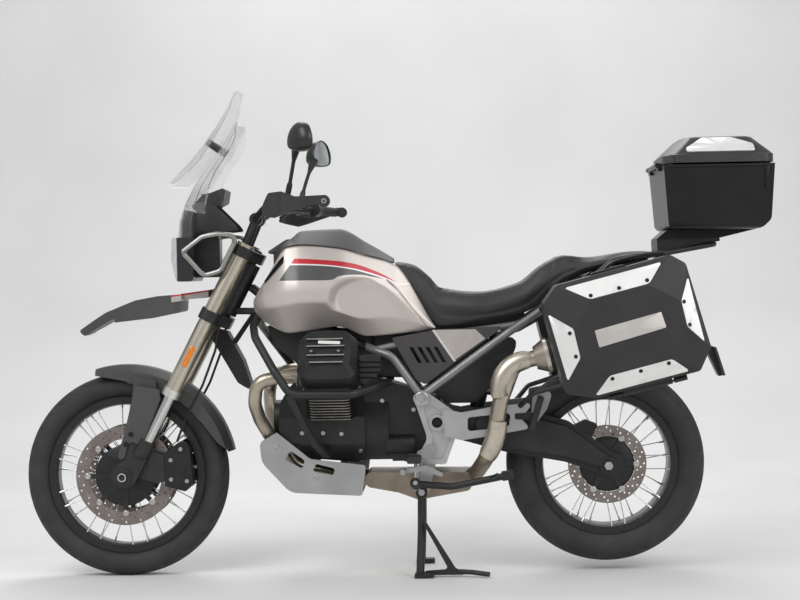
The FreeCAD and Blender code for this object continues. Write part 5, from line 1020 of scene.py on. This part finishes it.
# the tunnel over the frame's backbone: its roof rises forward until the front is open
roof = np.interp(tank_x, [-0.020, 0.090, 0.330, 0.400, 0.470],
                 [0.790, 0.828, 0.900, 0.930, 0.990])
lower, top = corner_rows[:, 0], corner_rows[:, 3]
open_front = roof > top[:, 1] - LEAST_WALL
middle_y = np.where(open_front, OPEN_HALF, 0.0)
roof = np.clip(roof, lower[:, 1], top[:, 1] - LEAST_WALL)
tunnel_y = np.minimum(TUNNEL_HALF, lower[:, 0] - 0.002)
half_outline = np.stack([
    np.stack([middle_y, roof], 1), np.stack([np.maximum(tunnel_y, middle_y), roof], 1),
    np.stack([np.maximum(tunnel_y, middle_y + 0.0002), lower[:, 1]], 1), lower, corner_rows[:, 1],
    corner_rows[:, 2], top, np.stack([middle_y, top[:, 1]], 1)], axis=1)
belly_radius = np.interp(tank_x, [-0.134, 0.10, 0.24], [0.002, 0.030, 0.012])
shoulder_radius = np.interp(tank_x, [-0.134, 0.0, 0.17, 0.36, 0.448],
                            [0.002, 0.030, 0.055, 0.050, 0.010])
corner_radii = np.stack([0 * tank_x, 0 * tank_x, 0.003 + 0 * tank_x, 0.004 + 0 * tank_x,
                         belly_radius, shoulder_radius, 0.009 + 0 * tank_x, 0 * tank_x], 1)
tank_rows = np.stack([evenly(row, 210) for row in rounded(half_outline, corner_radii, 7)])
across, height = tank_rows[..., 0], tank_rows[..., 1]
forward = np.broadcast_to(tank_x[:, None], across.shape)
# the knee recess: down to a leaning wall, over an edge that softens towards the front
knee_wall = KNEE_WALL_Y + KNEE_WALL_SLOPE * (forward - KNEE_WALL_X)
depth_in = inside_by(KNEE_OUTLINE, forward, height)
front_soft = ease((forward - SOFT_FROM) / SOFT_RUN)
knee_share = ease(depth_in / (KNEE_EDGE + KNEE_EDGE_MORE * front_soft))
bowl = BOWL_DEPTH * ease(depth_in / BOWL_EDGE)
sunk = np.maximum(across - (knee_wall - bowl), 0)
across = across - np.where(across > OUTER_WALL, knee_share * sunk, 0)
# the vent slot near the front, and the seam behind the recess
slot_share = ease(inside_by(SLOT_OUTLINE, forward, height) / SLOT_EDGE)
across = across - np.where(across > SLOT_WALL, slot_share * SLOT_DEPTH, 0)
seam_away = np.full(forward.shape, 1.0)
for (x_from, z_from), (x_to, z_to) in zip(SEAM_RUN[:-1], SEAM_RUN[1:]):
    run = np.array([x_to - x_from, z_to - z_from])
    share = np.clip(((forward - x_from) * run[0] + (height - z_from) * run[1]) / (run @ run), 0, 1)
    seam_away = np.minimum(seam_away, np.hypot(forward - x_from - share * run[0],
                                               height - z_from - share * run[1]))
across = across - np.where(across > OUTER_WALL,
                           SEAM_DEPTH * ease(1 - seam_away / SEAM_EDGE), 0)
tank_half = np.stack([forward, across, height], axis=-1)


def capped(rows):
    """The rows of a closed section with a point in the middle of each end."""
    ends = rows.mean(axis=1, keepdims=True) + 0 * rows
    return np.concatenate([ends[:1], rows, ends[-1:]])


tank_half = capped(tank_half)
tank = surfaces("tank_shell", [tank_half, tank_half[:, ::-1] * TO_RIGHT], around=True,
                crease_deg=32)
lacquer = finish("champagne_lacquer", (0.54, 0.485, 0.445), (0.58, 0.525, 0.485), 0.42, 0.5,
                 grain=1500, depth=0.00003, drift=3, uneven=0.05, Coat_Weight=0.2,
                 Coat_Roughness=0.2)


def line_height(tree, x, points):
    """The height of a drawn line at a place along the machine: the line runs smoothly
    through its points, each (forward, up) in metres."""
    points = np.array(sorted(points))
    (x_low, _), (x_high, _) = points[0], points[-1]
    z_low, z_high = points[:, 1].min(), points[:, 1].max()
    curve = tree.nodes.new("ShaderNodeFloatCurve")
    drawn = curve.mapping.curves[0]
    for index, (place, lift) in enumerate(points):
        spot = ((place - x_low) / (x_high - x_low), (lift - z_low) / (z_high - z_low))
        if index in (0, len(points) - 1):
            drawn.points[min(index, 1) if index else 0].location = spot
        else:
            drawn.points.new(*spot)
    curve.mapping.update()
    tree.links.new(reckon(tree, "MULTIPLY_ADD", x, 1 / (x_high - x_low),
                          -x_low / (x_high - x_low), clamp=True), curve.inputs["Value"])
    return reckon(tree, "MULTIPLY_ADD", curve.outputs["Value"], z_high - z_low, z_low)


def between_lines(tree, lower_line, upper_line, blur=0.0006):
    """1 between two drawn lines."""
    x, _, z = place_on(tree)
    over = past(tree, reckon(tree, "SUBTRACT", z, line_height(tree, x, lower_line)), 0, blur)
    under = past(tree, reckon(tree, "SUBTRACT", line_height(tree, x, upper_line), z), 0, blur)
    return reckon(tree, "MULTIPLY", over, under)


def on_one_side(tree, start, end, blur=0.0006):
    """1 to the left of the line from start to end, each (forward, up)."""
    run = np.array(end) - np.array(start)
    run = run / np.hypot(*run)
    facing = np.array([-run[1], 0.0, run[0]])
    return past(tree, along_line(tree, np.array([start[0], 0, start[1]]), facing), 0, blur)


tree = lacquer.node_tree
red_top = [(0.330, 1.0195), (0.307, 1.019), (0.229, 1.014), (0.145, 1.005), (0.079, 0.986),
           (0.015, 0.954), (-0.02, 0.934)]
red_low = [(0.330, 1.0035), (0.318, 1.003), (0.229, 0.999), (0.150, 0.990), (0.088, 0.976),
           (0.015, 0.9535), (-0.02, 0.9345)]
grey_top = [(0.360, 0.9985), (0.322, 0.998), (0.229, 0.995), (0.145, 0.985), (0.079, 0.968),
            (0.020, 0.9495), (-0.02, 0.931)]
grey_low = [(0.365, 0.950), (0.279, 0.949), (0.194, 0.949), (0.166, 0.9605), (0.123, 0.9645),
            (0.062, 0.957), (0.010, 0.943), (-0.02, 0.935)]
red_band = reckon(tree, "MULTIPLY", between_lines(tree, red_low, red_top),
                  on_one_side(tree, (0.318, 1.003), (0.307, 1.019)))
grey_band = reckon(tree, "MULTIPLY", between_lines(tree, grey_low, grey_top),
                   on_one_side(tree, (0.356, 0.950), (0.322, 0.998)))
white_line = reckon(tree, "MULTIPLY", between_lines(tree, grey_top, red_low),
                    on_one_side(tree, (0.356, 0.950), (0.315, 1.005)))
outer = beyond_y(tree, 0.06)
for band, low, high, gloss, metal in (
        (white_line, (0.74, 0.73, 0.72), (0.80, 0.79, 0.78), 0.35, 0.1),
        (red_band, (0.46, 0.012, 0.022), (0.54, 0.018, 0.03), 0.32, 0.1),
        (grey_band, (0.085, 0.083, 0.080), (0.105, 0.102, 0.10), 0.40, 0.4)):
    patch(lacquer, reckon(tree, "MULTIPLY", band, outer), low, high, gloss, metal)
# painted shade: the inside of the vent slot is painted near black where its champagne lacquer lies
# in shadow
slot_lines = [on_one_side(tree, start, end) for start, end in zip(
    SLOT_OUTLINE, SLOT_OUTLINE[1:] + SLOT_OUTLINE[:1])]
slot_painted_shade = outer
for line in slot_lines:
    slot_painted_shade = reckon(tree, "MULTIPLY", slot_painted_shade, apart_from(tree, line))
patch(lacquer, slot_painted_shade, (0.008, 0.008, 0.008), (0.012, 0.012, 0.012), 0.7)
seam_mask = reckon(tree, "MULTIPLY", between_lines(
    tree, [(0.02, 0.9485), (0.013, 0.941), (-0.0175, 0.911), (-0.103, 0.798), (-0.12, 0.775)],
    [(0.02, 0.9510), (0.013, 0.9455), (-0.0145, 0.9155), (-0.099, 0.803), (-0.12, 0.779)]), outer)
seam_mask = reckon(tree, "MULTIPLY", seam_mask,
                   apart_from(tree, past(tree, place_on(tree)[0], 0.018)))
patch(lacquer, seam_mask, (0.02, 0.019, 0.018), (0.03, 0.029, 0.028), 0.7)
fit(lacquer, "chassis", "tank_champagne", tank, instead_of="fuel_tank")

COVER_STATIONS = [0.384, 0.330, 0.290, 0.170, 0.084, -0.002]
# half width of the edge, then half width and height of the ridge
COVER_CORNERS = np.array([(54, 50, 1053.5), (149, 68, 1082), (152, 70, 1109), (146, 70, 1113),
                          (128, 60, 1069), (104, 50, 1017)]) / 1000
cover_x = np.linspace(0.384, -0.002, 90)
cover_rows = eased_between(COVER_STATIONS, COVER_CORNERS, cover_x)
tank_top = eased_between(TANK_STATIONS, TANK_CORNERS, cover_x)[:, 6:]
edge_y = np.minimum(cover_rows[:, 0], tank_top[:, 0])
rest = tank_top[:, 1] + 0.0006
ridge_y, ridge_z = cover_rows[:, 1], cover_rows[:, 2]
cover_outline = np.stack([
    np.stack([-edge_y, rest], 1), np.stack([-edge_y, rest + 0.0025], 1),
    np.stack([-ridge_y, ridge_z], 1), np.stack([ridge_y, ridge_z], 1),
    np.stack([edge_y, rest + 0.0025], 1), np.stack([edge_y, rest], 1)], axis=1)


def ribs(places, sections):
    """The points of sections, (across, up), each set at its own place along the machine."""
    forward = np.broadcast_to(places[:, None, None], sections.shape[:2] + (1,))
    return np.concatenate([forward, sections], axis=2)


cover_section = rounded(cover_outline, [0, 0.002, 0.016, 0.016, 0.002, 0], 6)
cover = surface("tank_back_cover", capped(ribs(cover_x, cover_section)), around=True,
                crease_deg=28)
lip_outline = rounded([(0.382, 1.043), (0.397, 1.036), (0.403, 1.044), (0.342, 1.083),
                       (0.326, 1.083), (0.326, 1.062)], [0.004, 0.004, 0.006, 0.012, 0.002, 0.002])
lip = raised_plates("cover_lip", [upright(lip_outline, -0.058)], [OUT_LEFT], 0.116, 0.004)
cover_finish = finish("cover_matt", (0.048, 0.045, 0.044), (0.058, 0.055, 0.053), 0.55, grain=1300,
                      depth=0.00012, drift=5)
fit(cover_finish, "chassis", "cover_dark", cover, lip, instead_of="tank_cover")

# -------------------------------------------------------------------------------- seat
# One stepped foam seat under black vinyl: a smooth crowned top panel sewn to the side
# panels, with a double row of stitches along the seam and a welt across the step.
SEAT_STATIONS = [-0.008, -0.030, -0.060, -0.112, -0.150, -0.280, -0.404, -0.484, -0.544, -0.620,
                 -0.760, -0.846]
# half width and height of the lower edge, of the side and of the top edge
SEAT_CORNERS = np.array([
    (72, 994, 77, 1001, 62, 1006), (86, 950, 96, 976, 72, 1002), (92, 917, 107, 945, 76, 993),
    (103, 838, 122, 890, 90, 952), (111, 796, 131, 868, 100, 914), (119, 809, 159, 850, 122, 898),
    (117, 831, 157, 880, 120, 924), (111, 871, 148, 930, 112, 982), (103, 920, 134, 962, 108, 1010),
    (97, 959, 124, 985, 100, 1003), (89, 989, 114, 1008, 92, 1019), (80, 1007, 91, 1014, 73, 1021)
]) / 1000
seat_x = np.linspace(-0.008, -0.846, 150)
seat_rows = eased_between(SEAT_STATIONS, SEAT_CORNERS, seat_x).reshape(-1, 3, 2)
mirror = np.array([-1, 1])
seat_outline = np.concatenate([seat_rows, seat_rows[:, ::-1] * mirror], axis=1)
foam_outline = seat_outline * np.array([0.985, 1]) - np.array([0, 0.0015])
seat_section = rounded(foam_outline, [0.008, 0.030, 0.022, 0.022, 0.030, 0.008], 6)
foam = surface("seat_foam", capped(ribs(seat_x, seat_section)), around=True)


def corners_of(mesh):
    """The corner points of a mesh as rows of an array."""
    points = np.empty(len(mesh.vertices) * 3)
    mesh.vertices.foreach_get("co", points)
    return points.reshape(-1, 3)


def swollen(source, name, voxel, pressure, cap, held_below):
    """Foam under its cover: the shape remeshed in small cells, blown up a little by
    pressure from inside, moved no further than the cap, and flat where it is held."""
    cells = source.modifiers.new("cells", "REMESH")
    cells.mode = "VOXEL"
    cells.voxel_size = voxel
    cells.use_smooth_shade = True
    seen = bpy.context.evaluated_depsgraph_get()
    mesh = bpy.data.meshes.new_from_object(source.evaluated_get(seen))
    bpy.data.objects.remove(source)
    blown = bpy.data.objects.new(name, mesh)
    bpy.context.scene.collection.objects.link(blown)
    start = corners_of(mesh)
    end = start
    held = blown.vertex_groups.new(name="held")
    held.add(np.flatnonzero(held_below(start)).tolist(), 1.0, "REPLACE")
    cloth = blown.modifiers.new("cover", "CLOTH")
    cloth.settings.use_pressure = True
    cloth.settings.uniform_pressure_force = pressure
    cloth.settings.vertex_group_mass = "held"
    cloth.settings.effector_weights.gravity = 0
    for step in range(1, 21):
        bpy.context.scene.frame_set(step)
    seen = bpy.context.evaluated_depsgraph_get()
    end = corners_of(blown.evaluated_get(seen).data)
    blown.modifiers.remove(cloth)
    bpy.context.scene.frame_set(1)
    move = end - start
    far = np.linalg.norm(move, axis=1, keepdims=True)
    return blown, start + move * np.minimum(1, cap / np.maximum(far, 1e-9))


def near_base(points):
    """Whether points lie less than 12 mm above the seat's lower edge at their place."""
    return points[:, 2] < np.interp(-points[:, 0], -seat_x, seat_rows[:, 0, 1]) + 0.012


seat, seat_skin = swollen(foam, "seat_pad", voxel=0.006, pressure=4, cap=0.007,
                          held_below=near_base)


def seat_edge(places, corner, lift=0.0):
    """A line along one corner of the seat's section, by its place along the seat."""
    rows = eased_between(SEAT_STATIONS, SEAT_CORNERS, places).reshape(-1, 3, 2)[:, corner]
    return np.stack([places, rows[:, 0], rows[:, 1] + lift], 1)


SEAM_SINK, WELT_SINK, THREAD_SPREAD = 0.0022, 0.0016, 0.004
WELT_X, WELT_Z, WELT_LEAN = -0.505, 0.97, 0.25
seam_line = seat_edge(np.linspace(-0.03, -0.83, 400), 2)
ridge_here = np.stack([np.interp(-seat_skin[:, 0], -seam_line[:, 0], seam_line[:, axis])
                       for axis in (1, 2)], 1)
from_seam = np.hypot(np.abs(seat_skin[:, 1]) - ridge_here[:, 0], seat_skin[:, 2] - ridge_here[:, 1])
seat.data.vertices.foreach_set("co", seat_skin.ravel())
seat.data.update()
normals = np.empty(seat_skin.size)
seat.data.vertex_normals.foreach_get("vector", normals)
normals = normals.reshape(-1, 3)
on_top = (normals[:, 2] > -0.2)[:, None]
step_welt = np.abs((seat_skin[:, 0] - WELT_X) + WELT_LEAN * (seat_skin[:, 2] - WELT_Z))
sewn = (SEAM_SINK * np.exp(-(from_seam / THREAD_SPREAD) ** 2)
        + WELT_SINK * np.exp(-(step_welt / THREAD_SPREAD) ** 2)
        * (seat_skin[:, 2] > ridge_here[:, 1] - 0.03))
seat.data.vertices.foreach_set("co", (seat_skin - normals * sewn[:, None] * on_top).ravel())
smooth = seat.modifiers.new("smooth", "SUBSURF")
smooth.levels = smooth.render_levels = 1
vinyl = finish("seat_vinyl", (0.017, 0.0165, 0.016), (0.026, 0.025, 0.024), 0.5, grain=900,
               depth=0.0004, drift=6, uneven=0.1)
fit(vinyl, "chassis", "seat_black", seat, instead_of="seat")


def on_skin(skin, points):
    """The spot on a mesh nearest to each point, and which way the mesh faces there."""
    tree = skin_of(skin)
    found = [tree.find_nearest(Vector(point)) for point in points]
    return np.array([hit[0] for hit in found]), np.array([hit[1] for hit in found])


stitch_rows = []
for offset, corner_lift in ((0.0042, -0.006), (-0.0042, 0.003)):
    line = seat_edge(np.linspace(-0.045, -0.80, 126), 2, corner_lift)
    line[:, 1] += offset
    stitch_rows += [line, line * TO_RIGHT]
stitch_places, stitch_facings = on_skin(seat, np.concatenate(stitch_rows))
run = np.concatenate([np.gradient(row, axis=0) for row in stitch_rows])
run /= np.linalg.norm(run, axis=1, keepdims=True)
stitches = stamped("seat_stitches", [(0, -0.0021), (0.00045, -0.0017), (0.00055, 0),
                                     (0.00045, 0.0017), (0, 0.0021)], 6,
                   stitch_places + stitch_facings * 0.0004, run)
fit(finish("thread", (0.03, 0.029, 0.028), (0.05, 0.048, 0.046), 0.7, drift=200),
    "chassis", "seat_black", stitches)

# ------------------------------------------------------------------------- side panels
# Dark grey moulded panels between the frame tubes, with four slanting louvres and a
# champagne painted field at the back edged by a thin pale line.
panel_finish = finish("panel_grey", (0.040, 0.036, 0.035), (0.052, 0.047, 0.046), 0.5, grain=1100,
                      depth=0.00012, drift=9)
tree = panel_finish.node_tree
INSERT = [(-0.129, 0.784), (-0.262, 0.784), (-0.293, 0.754), (-0.196, 0.688)]
INSERT_EDGE = [(-0.122, 0.786), (-0.131, 0.786), (-0.199, 0.683), (-0.191, 0.683)]


def field(tree, corners):
    """1 inside a convex outline in (forward, up), named against the clock or with it."""
    (x1, z1), (x2, z2), (x3, z3) = corners[:3]
    turn = (x2 - x1) * (z3 - z2) - (z2 - z1) * (x3 - x2)
    if turn < 0:
        corners = corners[::-1]
    mask = None
    for start, end in zip(corners, corners[1:] + corners[:1]):
        side = on_one_side(tree, start, end)
        mask = side if mask is None else reckon(tree, "MULTIPLY", mask, side)
    return mask


patch(panel_finish, field(tree, INSERT), (0.46, 0.42, 0.385), (0.52, 0.475, 0.44), 0.38, 0.5)
patch(panel_finish, field(tree, INSERT_EDGE), (0.60, 0.58, 0.55), (0.68, 0.66, 0.63), 0.4, 0.3)
dress(panel_finish, "side_panels")

# ---------------------------------------------------- covers that close the frame's gaps
# Black moulded covers: the air box between the frame tubes behind the engine, the tray
# under the tank, the seat's base, and a thin inner panel under each side panel.
air_box_side = rounded([(0.066, 0.790), (-0.074, 0.790), (-0.108, 0.700), (-0.070, 0.632),
                        (0.060, 0.632)], 0.014)
air_box = raised_plates("air_box", [upright(air_box_side, -0.056)], [OUT_LEFT], 0.112, 0.006)
tank_tray_side = rounded([(0.412, 0.806), (0.385, 0.735), (0.325, 0.690), (0.285, 0.640),
                          (0.232, 0.618), (0.190, 0.655), (0.150, 0.690), (0.060, 0.690),
                          (0.060, 0.786), (0.235, 0.796), (0.320, 0.800)], 0.010)
tank_tray = raised_plates("tank_tray", [upright(tank_tray_side, -0.040)], [OUT_LEFT], 0.080, 0.006)
inner_side = rounded([(-0.088, 0.730), (-0.092, 0.632), (-0.128, 0.580), (-0.168, 0.548),
                      (-0.262, 0.548), (-0.348, 0.642), (-0.392, 0.722), (-0.392, 0.752),
                      (-0.200, 0.742)], 0.016)
inner_panels = side_sheets("inner_panels", inner_side, 0.082, 0.004, 0.0015)
seat_base_side = rounded([(-0.104, 0.786), (-0.104, 0.812), (-0.250, 0.826), (-0.420, 0.858),
                          (-0.420, 0.800), (-0.250, 0.784)], 0.006)
seat_base = side_sheets("seat_base", seat_base_side, 0.078, 0.004, 0.0015)
inner_black = finish("inner_black", (0.013, 0.013, 0.013), (0.021, 0.021, 0.020), 0.55, grain=900,
                     depth=0.0002, drift=12)
fit(inner_black, "chassis", "black_plastic", air_box, tank_tray, inner_panels, seat_base)

# ---------------------------------------------------------------------------- panniers
# Two hard cases of black moulded nylon hung on a tube loop.  Each lid wears four brushed
# aluminium plates screwed over its bevels and a blank plate in the middle; a webbed
# handle and a latch sit on the upper edge.
pannier_black = finish("pannier_black", (0.013, 0.012, 0.012), (0.019, 0.018, 0.017), 0.5,
                       grain=700, depth=0.0003, drift=12)
dress(pannier_black, "pannier_shells", "pannier_left_lid", "pannier_right_lid")
# the plates over the upper, the front, the lower and the rear bevel
lid_plates = (
    [(-0.523, 0.911), (-0.822, 0.986), (-0.781, 0.921), (-0.601, 0.876)],
    [(-0.476, 0.835), (-0.551, 0.790), (-0.571, 0.701), (-0.533, 0.630)],
    [(-0.612, 0.586), (-0.900, 0.658), (-0.845, 0.695), (-0.655, 0.647)],
    [(-0.896, 0.940), (-0.873, 0.868), (-0.890, 0.790), (-0.944, 0.742)])
PLATE_SHARE = 0.985
name_plate = [(-0.614, 0.783), (-0.813, 0.836), (-0.828, 0.789), (-0.627, 0.732)]
plate_bolts = [(-0.604, 0.888), (-0.689, 0.909), (-0.773, 0.931), (-0.540, 0.776), (-0.557, 0.706),
               (-0.665, 0.638), (-0.750, 0.660), (-0.834, 0.682), (-0.882, 0.865), (-0.898, 0.796)]
brushed = finish("brushed_plate", (0.74, 0.73, 0.71), (0.82, 0.81, 0.79), 0.42, 0.55, grain=1600,
                 depth=0.00002, drift=9, stretch=(0.06, 1, 1), uneven=0.08)
blank_metal = finish("blank_plate", (0.50, 0.47, 0.44), (0.58, 0.55, 0.52), 0.45, 0.6, grain=1600,
                     depth=0.00002, drift=14, stretch=(0.06, 1, 1), uneven=0.08)
for side, side_name in ((1, "left"), (-1, "right")):
    lid_node = "pannier_%s_lid" % side_name
    outlines, outs = [], []
    for corners in lid_plates:
        drawn = rounded(corners, 0.005, 4)
        drawn = evenly(drawn.mean(axis=0) + (drawn - drawn.mean(axis=0)) * PLATE_SHARE, 60)
        places, facings = seated(lid_node, drawn, side)
        outlines.append(places)
        outs.append(facings.mean(axis=0))
    plates = raised_plates(lid_node + "_plates", outlines, outs, 0.0022, 0.0008, 0.0015)
    name_places, name_facings = seated(lid_node, name_plate, side)
    blank = raised_plates(lid_node + "_blank", [rounded(name_places, 0.004)],
                          [name_facings.mean(axis=0)], 0.0016, 0.0006)
    bolts = stamped(lid_node + "_bolts", bolt_shape(0.0062, 0.0022), 12,
                    *seated(plates, plate_bolts, side))
    fit(brushed, lid_node, "plate_aluminium", plates)
    fit(blank_metal, lid_node, "plate_aluminium", blank)
    fit(bolt_black, lid_node, "black_steel", bolts)


def strap_path(points, count):
    """A smooth run through a few points, walked evenly: a cubic in each coordinate."""
    points = np.array(points, float)
    far = np.concatenate([[0], np.cumsum(np.linalg.norm(np.diff(points, axis=0), axis=1))])
    return eased_between(far, points, np.linspace(0, far[-1], count))


strap_section = rounded([(-0.004, -0.013), (0.004, -0.013), (0.004, 0.013), (-0.004, 0.013)],
                        0.003)
strap_run = np.array([(-0.648, 0.950), (-0.662, 0.972), (-0.692, 0.991), (-0.740, 1.003),
                      (-0.800, 1.012), (-0.838, 1.014), (-0.850, 0.998)])
latch_outline = rounded([(-0.606, 0.940), (-0.612, 0.956), (-0.652, 0.966), (-0.710, 0.981),
                         (-0.722, 0.972), (-0.716, 0.960)], 0.005)
STRAP_Y, LATCH_Y = 0.330, 0.372
for side, side_name in ((1, "left"), (-1, "right")):
    handle = swept("pannier_%s_handle" % side_name,
                   strap_path(upright(strap_run, side * STRAP_Y), 48), strap_section, (0, 0, 1))
    latch = raised_plates("pannier_%s_latch" % side_name, [upright(latch_outline, side * LATCH_Y)],
                          [(0, side, 0)], 0.024, 0.002)
    fit(satin_black, "chassis", "case_black", handle, latch)

# ----------------------------------------------------------- top case, rack, tail lamp
# A hard case on a tube rack: a black moulded tub with a proud rim band and two latches,
# and a dark hinged lid with a brushed aluminium plate let into each sloping side.
tub_black = finish("tub_black", (0.006, 0.006, 0.006), (0.010, 0.0095, 0.009), 0.36, grain=700,
                   depth=0.0002, drift=12, Specular_IOR_Level=0.28)
dress(tub_black, "top_case_tub")


def stacked(name, plan, levels, radius, wall, roofed=False):
    """A moulded wall over one plan.  At each level, (height, how far in), the plan is
    drawn in by that much; the inside follows one wall thickness further in and lower.
    A roofed form closes over at its last level, inside and out."""
    plan = np.array(plan, float)
    middle = (plan.max(axis=0) + plan.min(axis=0)) / 2
    half = (plan.max(axis=0) - plan.min(axis=0)) / 2

    def ring(height, inset):
        """The plan drawn in towards its middle by the inset, at one height."""
        drawn = rounded(middle + (plan - middle) * np.maximum(1 - inset / half, 0), radius, 7)
        return np.concatenate([drawn, np.full((len(drawn), 1), height)], axis=1)

    outside = [ring(height, inset) for height, inset in levels]
    inside = [ring(max(height - wall, levels[0][0]), inset + wall) for height, inset in levels]
    top = [] if roofed else inside[-1:]
    return surfaces(name, [np.stack(inside[:1] + outside + top), np.stack(inside)], around=True,
                    crease_deg=24)


lid_plan = [(-0.862, -0.125), (-0.862, 0.125), (-0.892, 0.2150), (-1.185, 0.2150),
            (-1.2030, 0.190), (-1.2030, -0.190), (-1.185, -0.2150), (-0.892, -0.2150)]
case_lid = stacked("top_case_lid_shell", lid_plan, [
    (1.2958, 0.0), (1.3215, 0.0), (1.3230, 0.0035), (1.3265, 0.0060), (1.3770, 0.0600),
    (1.3805, 0.0720), (1.3815, 0.0850), (1.3815, 0.2150)], 0.016, 0.0035, roofed=True)
lid_dark = finish("lid_dark", (0.022, 0.019, 0.018), (0.031, 0.027, 0.026), 0.42, grain=700,
                  depth=0.0002, drift=12)
fit(lid_dark, "top_case_lid", "lid_dark", case_lid, instead_of="top_case_lid")
hinge_bar = swept("lid_hinge_bar", [(-0.846, y, 1.2925) for y in np.linspace(-0.090, 0.090, 12)],
                  circle(10, 0.0078), (0, 0, 1))
hinge_leaf = raised_plates("lid_hinge_leaf", [rounded([
    (-0.866, -0.086, 1.2978), (-0.8475, -0.086, 1.2978), (-0.8475, 0.086, 1.2978),
    (-0.866, 0.086, 1.2978)], 0.003)], [(0, 0, 1)], 0.005, 0.001)
plate_outlines, plate_outs = [], []
for side in (1, -1):
    corners = rounded([(-0.929, 1.3290), (-0.929, 1.3400), (-0.984, 1.3745), (-1.076, 1.3745),
                       (-1.141, 1.3520), (-1.143, 1.3290)], 0.004, 4)
    places, facings = seated(case_lid, evenly(corners, 60), side)
    plate_outlines.append(places)
    plate_outs.append(facings.mean(axis=0))
lid_panels = raised_plates("top_lid_plates", plate_outlines, plate_outs, 0.0035, 0.0010, 0.003)
fit(brushed, "top_case_lid", "plate_aluminium", lid_panels)
fit(satin_black, "top_case_lid", "black_steel", hinge_bar, hinge_leaf)
rim_band = stacked("tub_rim_band", [
    (-0.8530, -0.130), (-0.8530, 0.130), (-0.868, 0.2180), (-1.190, 0.2180), (-1.2036, 0.195),
    (-1.2036, -0.195), (-1.190, -0.2180), (-0.868, -0.2180)],
    [(1.2810, 0.0022), (1.2822, 0.0), (1.2892, 0.0), (1.2902, 0.0012)], 0.014, 0.0042)
latch_outlines = []
for side in (1, -1):
    places, _ = seated("top_case_tub", evenly(rounded([
        (-1.172, 1.2800), (-1.187, 1.2800), (-1.187, 1.2120), (-1.180, 1.2060),
        (-1.172, 1.2120)], 0.003, 4), 40), side)
    latch_outlines.append(places)
tub_latches = raised_plates("tub_latches", latch_outlines, [OUT_LEFT, OUT_RIGHT], 0.0055, 0.002,
                            0.003)
fit(tub_black, "chassis", "case_black", rim_band, tub_latches)
tail_red = finish("tail_red", (0.30, 0.008, 0.008), (0.40, 0.015, 0.012), 0.15, grain=500,
                  depth=0.0002, drift=60, Coat_Weight=0.5)
dress(tail_red, "tail_light")
